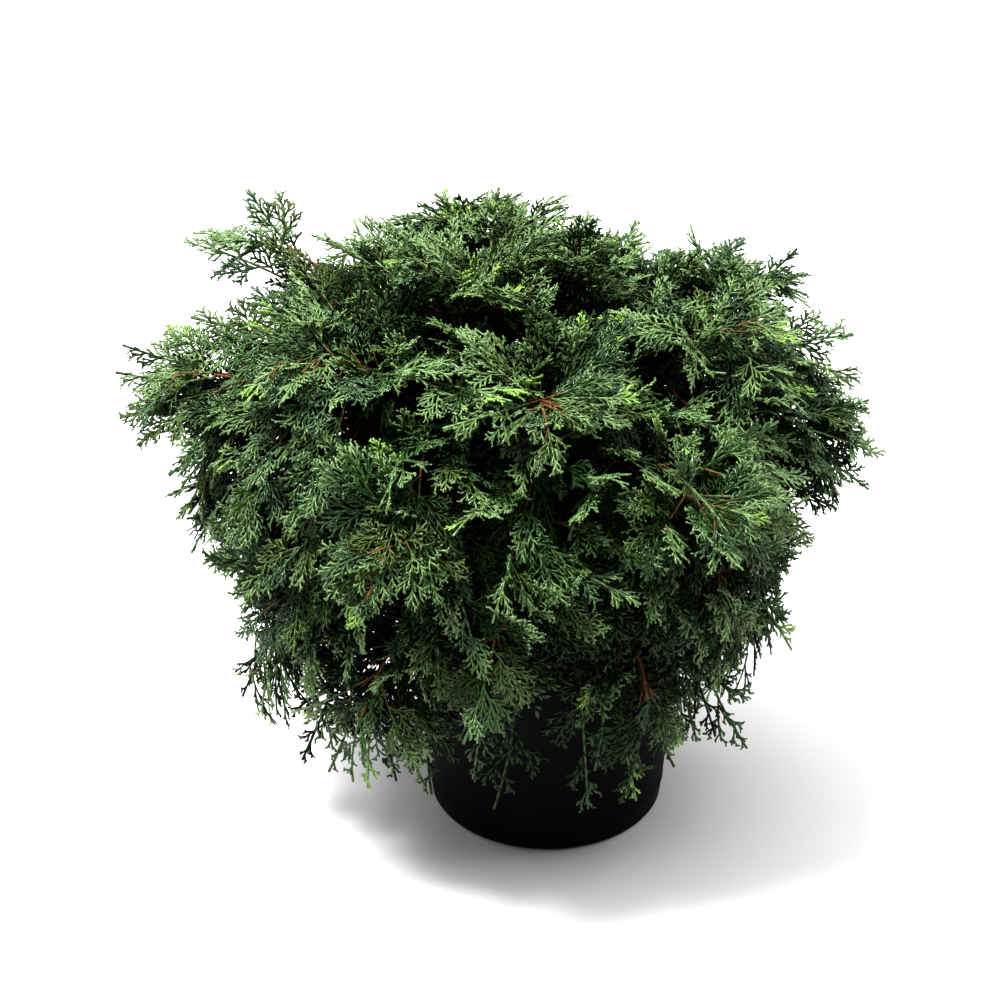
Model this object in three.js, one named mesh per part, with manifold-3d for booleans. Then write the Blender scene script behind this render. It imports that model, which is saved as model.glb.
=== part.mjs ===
// A dwarf hinoki cypress in a three-litre nursery pot, in millimetres, +Z up.
// The origin is the centre of the pot's flat underside.
//
// A short leaning trunk stands on the compost and carries tiers of tapering boughs, spread evenly
// like ribs. Each bough ends in a mass of foliage: one stem with flat toothed sprays fused on all
// along it, which lie in the face of the crown. The lower tiers hang over the pot's rim and the
// upper ones fill a broad, flat-topped dome.
import * as THREE from "three";
import { mergeVertices } from "three/addons/utils/BufferGeometryUtils.js";
import Module from "manifold-3d";

const wasm = await Module();
wasm.setup();

// ---------------------------------------------------------------- driving dimensions

const POT_HEIGHT = 155;
const POT_BASE_RADIUS = 75;
const POT_TAPER = 0.1; // radius gained per millimetre of height
const POT_EDGE = 3; // the slanted edge round its underside
const POT_WALL = 1.6;
const POT_FLOOR = 2;
const POT_SIDES = 24;
const COLLAR_HEIGHT = 19; // the straight band under the rim
const COLLAR_STEP = 2; // how far the band stands out of the wall
const RIM_HEIGHT = 6;
const RIM_RADIUS = 95;
const DRAIN_HOLES = 8;
const DRAIN_HOLE_RADIUS = 5;
const DRAIN_RING_RADIUS = 58;

const COMPOST_TOP = 139; // the flat middle of the compost, where the trunk stands
const COMPOST_FALL = 4; // how much lower the compost is at the wall
const CLEARANCE = 0.3; // between pieces that touch

const TRUNK_FORK = 228; // height of the trunk's tip
const TRUNK_FOOT_RADIUS = 8.5;
const TRUNK_TIP_RADIUS = 4.6;
const TRUNK_LEAN = new THREE.Vector3(-7, 2, 0); // how far the tip stands off the foot
const ROOT_FLARE = 5.5;
const ROOT_LOBES = 5;

const CROWN_SHIFT = new THREE.Vector3(-29, 0, 0); // the crown's middle, off the pot's axis
const CROWN_DEPTH = 0.96; // the crown from front to back, as a share of its width
// The crown's outline as [height, distance from its middle], from its skirt to its top.
const CROWN_PROFILE = [
  [50, 110], [80, 154], [120, 172], [160, 184], [200, 208], [240, 226], [285, 226], [320, 208],
  [350, 178], [376, 134], [398, 66], [406, 0],
];
// The dome that the sprays face out of.
const DOME_CENTRE = new THREE.Vector3(-29, 0, 120);
const DOME_RADII = new THREE.Vector3(228, 214, 268);

// Each tier is a ring of limbs. A limb leaves the trunk at root height and follows a curve that is
// steered by its knee and crest to its tip, each given as [distance from the axis, height].
// turn is the first limb's direction in degrees from +X, and bough the share of it that is bare.
const TIERS = [
  { name: "skirt", limbs: 7, turn: 244, root: 151, radius: 2.7, bough: 0.38,
    knee: [70, 190], crest: [186, 222], tip: [154, 74] },
  { name: "lower", limbs: 7, turn: 270, root: 166, radius: 3, bough: 0.36,
    knee: [74, 214], crest: [192, 270], tip: [202, 168] },
  { name: "middle", limbs: 6, turn: 187, root: 182, radius: 2.8, bough: 0.36,
    knee: [70, 244], crest: [172, 324], tip: [218, 268] },
  { name: "shoulder", limbs: 6, turn: 158, root: 197, radius: 2.6, bough: 0.38,
    knee: [46, 280], crest: [116, 366], tip: [176, 350] },
  { name: "top", limbs: 2, turn: 30, root: 216, radius: 2.2, bough: 0.36,
    knee: [12, 276], crest: [30, 352], tip: [66, 392] },
];
const ROOT_RISE = 12; // the limbs of a tier leave the trunk over this height, never side by side
const ROOT_OFFSET = 3.2; // from the trunk's own line to a limb's
const BOUGH_TIP_RADIUS = 1.7;
const TURN_JITTER = 6; // degrees
const REACH_JITTER = 0.05;
const TIP_JITTER = 9;

// Limbs that stand out of the round crown, by tier and place in it.
const LEADERS = {
  middle_1: { swing: 0, reach: 1.05, rise: 30 },
  middle_4: { swing: 0, reach: 1.06, rise: -12 },
  shoulder_1: { swing: 0, reach: 1.12, rise: 30 },
  shoulder_3: { swing: -12, reach: 1.24, rise: -16 },
};
const ORDINARY = { swing: 0, reach: 1, rise: 0 };

const STEM_TIP_RADIUS = 0.8;
const STEM_END = 0.73; // share of a limb where its stem ends and its leading spray begins
const STEM_FOOT = 0.06; // share of a limb between its bough and the first spray
const SPRAYS = 11; // sprays on one stem
const SPRAY_LENGTH = 90;
const SPRAY_LENGTH_JITTER = 0.12;
const SPRAY_SIZES = [1, 0.92, 0.84, 0.76, 0.68, 0.6, 0.52]; // tried in turn until the spray fits
const SPRAY_SWING = [40, 72]; // degrees off the stem, at its tip and at its foot
const SWING_JITTER = 6;
const SPIRAL_TURN = 137.5; // degrees round the stem from one spray to the next
const SPIRAL_JITTER = 12;
const SPIRAL_SHIFTS = [0, 24, -24, 48, -48, 72, -72]; // tried in turn for each size
const FLATTEN = 0.4; // how much of a spray's way out of the crown is pressed back into its face
const SPRAY_DROOP = 0.1;
const SPRAY_HALF_THICKNESS = 1.3;
const SPRAY_HUB = 0.25; // share of the length where the fingers spread from
const SPRAY_ROOT_SINK = 1; // how far past the stem's middle a spray is rooted
const SPRAY_ROOT_HALF_WIDTH = 1.4;
const FINGER_ANGLES = [0, 36, 80]; // degrees, on both sides of the middle finger
const FINGER_REACH = [0.75, 0.72, 0.55]; // shares of the spray's length
const FINGER_JITTER = 0.1;
const FINGER_TURN_JITTER = 3; // degrees
const NOTCH_DEPTH = 0.75; // a notch's distance from the hub, as a share of the finger beside it
const SPACE_GAP = 1; // between the spaces of two masses
const LIMB_GAP = 2.2; // between a spray and a bare limb
const POT_GAP = 3;
const LOWEST_SPRAY = 22; // nothing hangs nearer to the ground
const SEED = 2112;

const UP = new THREE.Vector3(0, 0, 1);

// ---------------------------------------------------------------- helpers

// A seeded row of even random numbers from 0 to 1.
function seeded(seed) {
  let state = seed >>> 0;
  return () => {
    state = (Math.imul(state, 1664525) + 1013904223) >>> 0;
    return state / 4294967296;
  };
}

const around = (random, spread) => (2 * random() - 1) * spread;
const mix = THREE.MathUtils.lerp;
const radians = THREE.MathUtils.degToRad;
const compass = (angle) => new THREE.Vector3(Math.cos(angle), Math.sin(angle), 0);

// A vector's part that lies square to an axis, one unit long.
const squareTo = (vector, axis) => vector.clone().addScaledVector(axis, -vector.dot(axis)).normalize();

// A three.js geometry as a manifold-3d solid, turned right side out if need be.
function solidOf(geometry) {
  const bare = geometry.clone();
  bare.deleteAttribute("normal");
  bare.deleteAttribute("uv");
  const merged = mergeVertices(bare, 1e-4);
  const build = (triangles) =>
    new wasm.Manifold(
      new wasm.Mesh({
        numProp: 3,
        vertProperties: new Float32Array(merged.attributes.position.array),
        triVerts: new Uint32Array(triangles),
      }),
    );
  const triangles = Array.from(merged.index.array);
  const solid = build(triangles);
  return solid.volume() < 0 ? build(triangles.reverse()) : solid;
}

// A solid as a flat-shaded three.js geometry.
function geometryOf(solid) {
  const mesh = solid.getMesh();
  const positions = new Float32Array(mesh.numVert * 3);
  for (let i = 0; i < mesh.numVert; i++) {
    positions.set(mesh.vertProperties.subarray(i * mesh.numProp, i * mesh.numProp + 3), i * 3);
  }
  return new THREE.BufferGeometry()
    .setAttribute("position", new THREE.BufferAttribute(positions, 3))
    .setIndex(new THREE.BufferAttribute(mesh.triVerts, 1));
}

// The largest outer body of a solid, with its sealed hollows filled and loose scraps dropped.
function oneBody(solid) {
  return solid.decompose().reduce((best, body) => (body.volume() > best.volume() ? body : best));
}

// A solid turned about +Z from a profile of [radius, height] points that starts and ends on the axis.
function turned(profile, sides) {
  const geometry = new THREE.LatheGeometry(profile.map(([r, z]) => new THREE.Vector2(r, z)), sides);
  geometry.rotateX(Math.PI / 2);
  return solidOf(geometry);
}

// A closed tapering tube along the stretch of a curve from t = from to t = to. radiusAt(s) gives
// its radius at the share s of that stretch.
function tube(curve, from, to, radiusAt, sides, steps) {
  const geometry = new THREE.CylinderGeometry(1, 1, 1, sides, steps);
  const position = geometry.attributes.position;
  const vertex = new THREE.Vector3();
  for (let i = 0; i < position.count; i++) {
    vertex.fromBufferAttribute(position, i);
    const share = vertex.y + 0.5;
    const { point, side, normal } = frameOn(curve, mix(from, to, share));
    point.addScaledVector(side, vertex.z * radiusAt(share));
    point.addScaledVector(normal, vertex.x * radiusAt(share));
    position.setXYZ(i, point.x, point.y, point.z);
  }
  return solidOf(geometry);
}

// A point on a curve with its tangent, a level sideways direction and the normal above them. Where
// the curve stands nearly upright, sideways is the curve's own side.
function frameOn(curve, t) {
  const point = curve.getPoint(t);
  const tangent = curve.getTangent(t);
  const side = new THREE.Vector3().crossVectors(tangent, UP);
  if (side.length() < 0.2) side.copy(curve.side);
  side.normalize();
  const normal = new THREE.Vector3().crossVectors(side, tangent).normalize();
  side.crossVectors(tangent, normal);
  return { point, tangent, side, normal };
}

// The distance from a point to a row of points joined by straight lines.
function distanceTo(line, point) {
  const segment = new THREE.Line3();
  const nearest = new THREE.Vector3();
  let least = Infinity;
  for (let i = 0; i + 1 < line.length; i++) {
    segment.set(line[i], line[i + 1]);
    segment.closestPointToPoint(point, true, nearest);
    least = Math.min(least, nearest.distanceTo(point));
  }
  return least;
}

const wallRadius = (z) => POT_BASE_RADIUS + POT_TAPER * z;

// ---------------------------------------------------------------- pot and compost

function potSolid() {
  const collarFoot = POT_HEIGHT - COLLAR_HEIGHT;
  const rimFoot = POT_HEIGHT - RIM_HEIGHT;
  const collar = wallRadius(collarFoot) + COLLAR_STEP;
  const profile = [
    [0, 0],
    [POT_BASE_RADIUS - POT_EDGE, 0],
    [wallRadius(POT_EDGE), POT_EDGE],
    [wallRadius(collarFoot), collarFoot],
    [collar, collarFoot + COLLAR_STEP],
    [collar + 1, rimFoot],
    [RIM_RADIUS, rimFoot + 1],
    [RIM_RADIUS, POT_HEIGHT - 1],
    [RIM_RADIUS - 1, POT_HEIGHT],
    [collar + 1 - POT_WALL, POT_HEIGHT],
    [collar - POT_WALL, collarFoot + COLLAR_STEP],
    [wallRadius(collarFoot) - POT_WALL, collarFoot],
    [wallRadius(POT_EDGE) - POT_WALL, POT_FLOOR + POT_EDGE],
    [POT_BASE_RADIUS - POT_EDGE, POT_FLOOR],
    [0, POT_FLOOR],
  ];
  let pot = turned(profile, POT_SIDES);
  for (let i = 0; i < DRAIN_HOLES; i++) {
    const hole = new THREE.CylinderGeometry(DRAIN_HOLE_RADIUS, DRAIN_HOLE_RADIUS, 3 * POT_FLOOR, 8);
    hole.rotateX(Math.PI / 2);
    const place = compass((2 * Math.PI * (i + 0.5)) / DRAIN_HOLES).multiplyScalar(DRAIN_RING_RADIUS);
    hole.translate(place.x, place.y, POT_FLOOR / 2);
    pot = pot.subtract(solidOf(hole));
  }
  return pot;
}

// The compost fills the pot, clear of its faceted wall, and is a little higher round the trunk.
function compostSolid() {
  const wallGap = POT_WALL + 1.2 * CLEARANCE;
  const foot = POT_FLOOR + CLEARANCE;
  const rim = COMPOST_TOP - COMPOST_FALL;
  const profile = [
    [0, foot],
    [POT_BASE_RADIUS - POT_EDGE - wallGap, foot],
    [wallRadius(POT_EDGE) - wallGap, foot + POT_EDGE],
    [wallRadius(rim) - wallGap, rim],
    [0.75 * POT_BASE_RADIUS, COMPOST_TOP - 1],
    [2 * (TRUNK_FOOT_RADIUS + ROOT_FLARE), COMPOST_TOP],
    [0, COMPOST_TOP],
  ];
  return turned(profile, POT_SIDES);
}

// ---------------------------------------------------------------- trunk and limbs

// The trunk's own line, from its flat cut on the compost to its tip.
function trunkCurve() {
  const foot = new THREE.Vector3(0, 0, COMPOST_TOP + CLEARANCE);
  const tip = new THREE.Vector3(0, 0, TRUNK_FORK).add(TRUNK_LEAN);
  const bend = new THREE.Vector3(0, 0, mix(foot.z, tip.z, 0.55));
  return new THREE.QuadraticBezierCurve3(foot, bend, tip);
}

// The trunk's radius at the share s of its height, flared and lobed at its foot.
function trunkRadius(s, angle) {
  const flare = ROOT_FLARE * Math.exp(-9 * s);
  return mix(TRUNK_FOOT_RADIUS, TRUNK_TIP_RADIUS, s) + flare * (1 + 0.3 * Math.cos(ROOT_LOBES * angle));
}

// Keeps the trunk's rings level, so its foot is a flat cut on the compost. grow swells it all over.
function trunkSolid(trunk, grow) {
  const geometry = new THREE.CylinderGeometry(1, 1, 1, 10, 6);
  const position = geometry.attributes.position;
  for (let i = 0; i < position.count; i++) {
    const share = position.getY(i) + 0.5;
    const angle = Math.atan2(position.getX(i), position.getZ(i));
    const radius = Math.hypot(position.getX(i), position.getZ(i)) * (trunkRadius(share, angle) + grow);
    const point = trunk.getPoint(share);
    const end = share === 0 ? -grow : Number(share === 1) * grow;
    point.add(new THREE.Vector3(radius * Math.cos(angle), radius * Math.sin(angle), end));
    position.setXYZ(i, point.x, point.y, point.z);
  }
  return solidOf(geometry);
}

// Every limb of every tier, as a curve with its bare bough and its stem in the foliage.
function plantLimbs(trunk) {
  const random = seeded(SEED);
  const limbs = [];
  for (const tier of TIERS) {
    for (let i = 0; i < tier.limbs; i++) {
      const place = `${tier.name}_${i + 1}`;
      const leader = LEADERS[place] ?? ORDINARY;
      const spacing = 360 / tier.limbs;
      const turn = radians(tier.turn - spacing * i + leader.swing + around(random, TURN_JITTER));
      const reach = leader.reach * (1 + around(random, REACH_JITTER));
      const rise = leader.rise + around(random, TIP_JITTER);
      const rootHeight = tier.root + (ROOT_RISE * ((3 * i) % tier.limbs)) / tier.limbs;
      const out = compass(turn);
      // share tells how far a steering point follows the limb's own reach and rise
      const steer = ([distance, height], shift, share) =>
        out.clone().multiplyScalar(distance * mix(1, reach, share))
          .addScaledVector(CROWN_SHIFT, shift)
          .setZ(height + rise * share);
      const root = trunk.getPoint((rootHeight - COMPOST_TOP) / (TRUNK_FORK - COMPOST_TOP))
        .addScaledVector(out, ROOT_OFFSET);
      const curve = new THREE.CubicBezierCurve3(
        root,
        steer(tier.knee, 0.35, 0),
        steer(tier.crest, 0.85, 0.6),
        steer(tier.tip, 1, 1),
      );
      curve.side = compass(turn - Math.PI / 2);
      const along = (from, to, steps) =>
        Array.from({ length: steps + 1 }, (_, k) => curve.getPoint(mix(from, to, k / steps)));
      limbs.push({
        place,
        tier,
        curve,
        boughLine: along(0, tier.bough, 6),
        stemLine: along(tier.bough, 1, 8),
        seed: SEED + 977 * (limbs.length + 1),
      });
    }
  }
  return limbs;
}

function boughSolid(limb, trunkSpace) {
  const end = limb.tier.bough - CLEARANCE / limb.curve.getLength();
  const radiusAt = (s) => mix(limb.tier.radius, BOUGH_TIP_RADIUS, s);
  return oneBody(tube(limb.curve, 0, end, radiusAt, 5, 4).subtract(trunkSpace));
}

// ---------------------------------------------------------------- sprays of foliage

// The crown's radius at a height.
function crownRadius(z) {
  const k = CROWN_PROFILE.findIndex(([height]) => height > z);
  if (k < 1) return 0;
  const [low, inner] = CROWN_PROFILE[k - 1];
  const [high, outer] = CROWN_PROFILE[k];
  return mix(inner, outer, (z - low) / (high - low));
}

// The direction straight out of the crown's dome beside a point.
function outOfCrown(point) {
  const out = point.clone().sub(DOME_CENTRE).divide(DOME_RADII).divide(DOME_RADII);
  out.z = Math.max(out.z, 0);
  return out.normalize();
}

// A spray's outline as [distance along it, distance across it] points. Fingers spread from the hub
// with notches between them, and the last two points are its narrow root.
function sprayOutline(length, random) {
  const fingers = [];
  for (const hand of [-1, 1]) {
    FINGER_ANGLES.forEach((angle, i) => {
      if (i === 0 && hand === 1) return;
      const reach = FINGER_REACH[i] * length * (1 + around(random, FINGER_JITTER));
      const turn = hand * angle + around(random, i === 0 ? 0 : FINGER_TURN_JITTER);
      fingers.push({ turn, reach });
    });
  }
  fingers.sort((a, b) => a.turn - b.turn);
  const points = [];
  const add = (turn, reach) => {
    const angle = radians(turn);
    points.push([SPRAY_HUB * length + reach * Math.cos(angle), reach * Math.sin(angle)]);
  };
  fingers.forEach((finger, i) => {
    add(finger.turn, finger.reach);
    const next = fingers[i + 1];
    if (next) add((finger.turn + next.turn) / 2, NOTCH_DEPTH * Math.min(finger.reach, next.reach));
  });
  points.push([-SPRAY_ROOT_SINK, SPRAY_ROOT_HALF_WIDTH], [-SPRAY_ROOT_SINK, -SPRAY_ROOT_HALF_WIDTH]);
  return points;
}

// Puts a point of a spray, given along, across and above it, in its place on the plant.
function onSpray(spray, along, across, above) {
  const droop = SPRAY_DROOP * spray.length * (Math.max(along, 0) / spray.length) ** 2;
  return spray.root.clone()
    .addScaledVector(spray.direction, along)
    .addScaledVector(spray.across, across)
    .addScaledVector(spray.face, above - droop);
}

// One toothed blade, thick at its hub and thin at its outline.
function spraySolid(spray) {
  const ring = spray.outline.length;
  const half = SPRAY_HALF_THICKNESS;
  const lens = [new THREE.Vector2(0, -half), new THREE.Vector2(1, 0), new THREE.Vector2(0, half)];
  const geometry = new THREE.LatheGeometry(lens, ring);
  const position = geometry.attributes.position;
  for (let i = 0; i < position.count; i++) {
    const edge = spray.outline[Math.floor(i / lens.length) % ring];
    const onEdge = i % lens.length === 1;
    const along = onEdge ? edge[0] : SPRAY_HUB * spray.length;
    const point = onSpray(spray, along, onEdge ? edge[1] : 0, position.getY(i));
    position.setXYZ(i, point.x, point.y, point.z);
  }
  return solidOf(geometry);
}

// True if a point lies in the crown, above the ground and clear of the pot.
function inCrown(point) {
  if (point.z < LOWEST_SPRAY) return false;
  const wall = Math.max(wallRadius(point.z), RIM_RADIUS) + POT_GAP;
  if (point.z < POT_HEIGHT + POT_GAP && Math.hypot(point.x, point.y) < wall) return false;
  return true;
}

// True if a spray keeps to its own mass's space, within the crown and off every bare limb. Only a
// leading spray may stand out of the crown's outline.
function fits(spray, limb, limbs) {
  const hub = SPRAY_HUB * spray.length;
  for (const [along, across] of spray.outline.slice(0, -2)) {
    for (const share of [0.4, 0.7, 1]) {
      const point = onSpray(spray, mix(hub, along, share), across * share, 0);
      if (!inCrown(point)) return false;
      const reach = Math.hypot(point.x - CROWN_SHIFT.x, (point.y - CROWN_SHIFT.y) / CROWN_DEPTH);
      if (!spray.leads && reach > crownRadius(point.z)) return false;
      const own = distanceTo(limb.stemLine, point);
      for (const other of limbs) {
        if (other !== limb && distanceTo(other.stemLine, point) < own + SPACE_GAP) return false;
        if (distanceTo(other.boughLine, point) < other.tier.radius + LIMB_GAP) return false;
      }
    }
  }
  return true;
}

// The i-th place for a spray on a limb's stem, counted from the stem's tip, with its own traits.
function spraySlot(limb, i, random) {
  const share = i / (SPRAYS - 1);
  const frame = frameOn(limb.curve, mix(STEM_END, limb.tier.bough + STEM_FOOT, share));
  const swing = radians(mix(...SPRAY_SWING, share) + around(random, SWING_JITTER));
  const turn = SPIRAL_TURN * i + around(random, SPIRAL_JITTER);
  const aside = around(random, 0.2);
  const stretch = 1 + around(random, SPRAY_LENGTH_JITTER);
  const shapeSeed = Math.floor(random() * 1e6);
  const tipward = limb.curve.getPoint(1).sub(frame.point);
  const leads = i === 0;
  const full = leads ? tipward.length() : SPRAY_LENGTH * stretch;
  return { frame, swing, turn, aside, shapeSeed, tipward, leads, full };
}

// A spray in a slot, with its length and its turn round the stem chosen.
function sprayIn(slot, size, shift) {
  const { point: root, tangent, side, normal } = slot.frame;
  const out = outOfCrown(root);
  const turn = radians(slot.turn + shift);
  const direction = slot.leads
    ? slot.tipward.clone().normalize()
    : tangent.clone().multiplyScalar(Math.cos(slot.swing))
      .addScaledVector(side, Math.sin(slot.swing) * Math.cos(turn))
      .addScaledVector(normal, Math.sin(slot.swing) * Math.sin(turn));
  if (!slot.leads) direction.addScaledVector(out, -FLATTEN * direction.dot(out)).normalize();
  const face = squareTo(out.addScaledVector(side, slot.aside), direction);
  const across = new THREE.Vector3().crossVectors(face, direction);
  const length = slot.full * size;
  const outline = sprayOutline(length, seeded(slot.shapeSeed));
  return { root, direction, face, across, length, outline, leads: slot.leads };
}

// The largest spray for a slot that fits its space and crosses none of those already there.
function fittingSpray(slot, limb, limbs, sprays) {
  for (const size of SPRAY_SIZES) {
    for (const shift of slot.leads ? [0] : SPIRAL_SHIFTS) {
      const spray = sprayIn(slot, size, shift);
      if (!fits(spray, limb, limbs)) continue;
      spray.solid = spraySolid(spray);
      if (sprays.every((other) => other.solid.intersect(spray.solid).isEmpty())) return spray;
    }
  }
  return null;
}

// One mass of foliage: a stem that runs on from its bough, with a leading spray on its end and the
// others in a spiral back along it. A spray that would leave the mass's space is left out.
function massSolid(limb, limbs) {
  const random = seeded(limb.seed);
  const sprays = [];
  for (let i = 0; i < SPRAYS; i++) {
    const spray = fittingSpray(spraySlot(limb, i, random), limb, limbs, sprays);
    if (spray) sprays.push(spray);
  }
  const radiusAt = (s) => mix(BOUGH_TIP_RADIUS, STEM_TIP_RADIUS, s);
  const stem = tube(limb.curve, limb.tier.bough, STEM_END, radiusAt, 3, 5);
  return oneBody(wasm.Manifold.union([stem, ...sprays.map((spray) => spray.solid)]));
}

// ---------------------------------------------------------------- the whole plant

const finish = (color, roughness) => new THREE.MeshStandardMaterial({ color, roughness, metalness: 0 });
const FINISHES = {
  pot: finish(0x0b0b0c, 0.5),
  compost: finish(0x2a1d14, 0.95),
  bark: finish(0x6b3a22, 0.85),
  foliage: finish(0x2c4a26, 0.6),
};

const plant = new THREE.Group();

function addPiece(name, solid, material) {
  const mesh = new THREE.Mesh(geometryOf(solid), material);
  mesh.name = name;
  plant.add(mesh);
}

const trunk = trunkCurve();
const limbs = plantLimbs(trunk);
addPiece("pot", potSolid(), FINISHES.pot);
addPiece("compost", compostSolid(), FINISHES.compost);
addPiece("trunk", trunkSolid(trunk, 0), FINISHES.bark);
const trunkSpace = trunkSolid(trunk, CLEARANCE);
for (const limb of limbs) {
  addPiece(`bough_${limb.place}`, boughSolid(limb, trunkSpace), FINISHES.bark);
}
for (const limb of limbs) {
  addPiece(`foliage_${limb.place}`, massSolid(limb, limbs), FINISHES.foliage);
}

export default plant;
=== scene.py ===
"""A dwarf hinoki cypress in a black nursery pot, dressed for a studio picture.

The part's frame is kept: metres, +Z up, and the origin at the centre of the pot's flat underside.
The limbs, and the places of the sprays on them, follow the same seeded rule as the solids. Each
spray is grown on here as a frond of side fans, twigs and scale leaves, within the same reach.
Plant sizes are written in millimetres, as a grower would give them, and made metres at the end.
"""

from __future__ import annotations

import logging
import random
from collections.abc import Callable, Iterator
from dataclasses import dataclass, field, replace
from enum import Enum
from math import atan2, cos, degrees, floor, hypot, pi, radians, sin

import bpy
import numpy as np
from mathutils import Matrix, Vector


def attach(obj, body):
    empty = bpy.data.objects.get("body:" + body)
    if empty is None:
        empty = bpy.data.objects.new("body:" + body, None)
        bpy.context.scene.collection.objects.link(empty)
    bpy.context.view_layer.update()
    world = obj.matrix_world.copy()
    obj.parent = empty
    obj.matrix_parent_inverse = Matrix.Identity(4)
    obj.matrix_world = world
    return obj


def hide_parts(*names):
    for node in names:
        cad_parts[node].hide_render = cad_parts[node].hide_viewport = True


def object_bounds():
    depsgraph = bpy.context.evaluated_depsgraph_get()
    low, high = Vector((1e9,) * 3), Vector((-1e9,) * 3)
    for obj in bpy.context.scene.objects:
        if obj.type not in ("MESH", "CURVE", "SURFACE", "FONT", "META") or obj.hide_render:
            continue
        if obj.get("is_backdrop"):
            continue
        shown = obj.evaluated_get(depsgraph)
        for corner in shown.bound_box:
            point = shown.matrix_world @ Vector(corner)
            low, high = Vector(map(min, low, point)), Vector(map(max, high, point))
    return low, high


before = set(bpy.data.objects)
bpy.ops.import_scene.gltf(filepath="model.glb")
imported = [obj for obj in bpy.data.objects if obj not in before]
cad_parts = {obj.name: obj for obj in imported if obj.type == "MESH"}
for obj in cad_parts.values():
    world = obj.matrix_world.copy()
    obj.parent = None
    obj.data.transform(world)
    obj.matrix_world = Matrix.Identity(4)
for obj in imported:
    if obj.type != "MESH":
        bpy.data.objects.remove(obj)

Array = np.ndarray
Piece = bpy.types.Object
Socket = bpy.types.NodeSocket
Pair = tuple[float, float]
Triple = tuple[float, float, float]

LOG = logging.getLogger("cypress")
MM = 0.001
BODY = "root"
UP = np.array([0.0, 0.0, 1.0])
NUDGE = 1e-4


class SeededRow:
    """A seeded row of even random numbers from 0 to 1, the same as the solids use."""

    def __init__(self, seed: int) -> None:
        """Starts the row at a seed."""
        self.state = seed & 0xFFFFFFFF

    def __call__(self) -> float:
        """Gives the next number."""
        self.state = (self.state * 1664525 + 1013904223) & 0xFFFFFFFF
        return self.state / 4294967296

    def around(self, spread: float) -> float:
        """Gives a number from -spread to spread."""
        return (2 * self() - 1) * spread

    def seed(self) -> int:
        """Gives a whole number to seed another row with."""
        return floor(self() * 1_000_000)


def mix(low: float, high: float, share: float) -> float:
    """Goes from low to high by a share."""
    return low + (high - low) * share


def unit(vector: Array) -> Array:
    """Makes vectors one unit long."""
    return vector / np.linalg.norm(vector, axis=-1, keepdims=True)


def square_to(vector: Array, axis: Array) -> Array:
    """Gives a vector's part that lies square to an axis, one unit long."""
    return unit(vector - np.dot(vector, axis) * axis)


def compass(bearing: float) -> Array:
    """Gives the level direction at an angle from +X."""
    angle = radians(bearing)
    return np.array([cos(angle), sin(angle), 0.0])


def deselect() -> None:
    """Leaves edit mode and deselects everything."""
    if bpy.context.object and bpy.context.object.mode != "OBJECT":
        bpy.ops.object.mode_set(mode="OBJECT")
    bpy.ops.object.select_all(action="DESELECT")


def activate(piece: Piece) -> None:
    """Makes an object the active one, and the only one that is selected.

    Args:
        piece: The object.
    """
    deselect()
    piece.select_set(True)
    bpy.context.view_layer.objects.active = piece


def edit(chosen: str = "SELECT") -> None:
    """Enters edit mode with the whole mesh selected, or none of it."""
    bpy.ops.object.mode_set(mode="EDIT")
    bpy.ops.mesh.select_all(action=chosen)


def close_edit() -> None:
    """Turns all the faces outwards and leaves edit mode."""
    bpy.ops.mesh.select_all(action="SELECT")
    bpy.ops.mesh.normals_make_consistent(inside=False)
    bpy.ops.object.mode_set(mode="OBJECT")


def name_active(name: str) -> Piece:
    """Names the object that was just added, and its mesh."""
    bpy.context.object.name = bpy.context.object.data.name = name
    return bpy.context.object


def corners_of(piece: Piece) -> Array:
    """Reads a mesh's vertices.

    Args:
        piece: The object.

    Returns:
        Rows of x, y, z.
    """
    flat = np.empty(len(piece.data.vertices) * 3, np.float32)
    piece.data.vertices.foreach_get("co", flat)
    return flat.reshape(-1, 3).astype(float)


def move_corners(piece: Piece, corners: Array) -> None:
    """Writes a mesh's vertices back."""
    piece.data.vertices.foreach_set("co", corners.astype(np.float32).ravel())
    piece.data.update()


def piece_from_arrays(name: str, corners: Array, triangles: Array) -> Piece:
    """Makes one joined mesh from arrays.

    Args:
        name: The piece's name.
        corners: Rows of x, y, z, in metres.
        triangles: Rows of three corner numbers.

    Returns:
        The new object, at the origin.
    """
    mesh = bpy.data.meshes.new(name)
    mesh.vertices.add(len(corners))
    mesh.vertices.foreach_set("co", corners.astype(np.float32).ravel())
    mesh.loops.add(triangles.size)
    mesh.loops.foreach_set("vertex_index", triangles.astype(np.int32).ravel())
    mesh.polygons.add(len(triangles))
    mesh.polygons.foreach_set("loop_start", np.arange(0, triangles.size, 3, dtype=np.int32))
    mesh.update(calc_edges=True)
    piece = bpy.data.objects.new(name, mesh)
    bpy.context.scene.collection.objects.link(piece)
    return piece


def finished(piece: Piece, material: bpy.types.Material, nodes: list[str]) -> None:
    """Gives a piece its material and puts it on the part's body in place of its nodes.

    Args:
        piece: The finished object.
        material: Its material.
        nodes: The nodes that it replaces.
    """
    piece.data.materials.append(material)
    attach(piece, BODY)
    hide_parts(*nodes)
    LOG.info("%s: %d faces", piece.name, len(piece.data.polygons))


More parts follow.
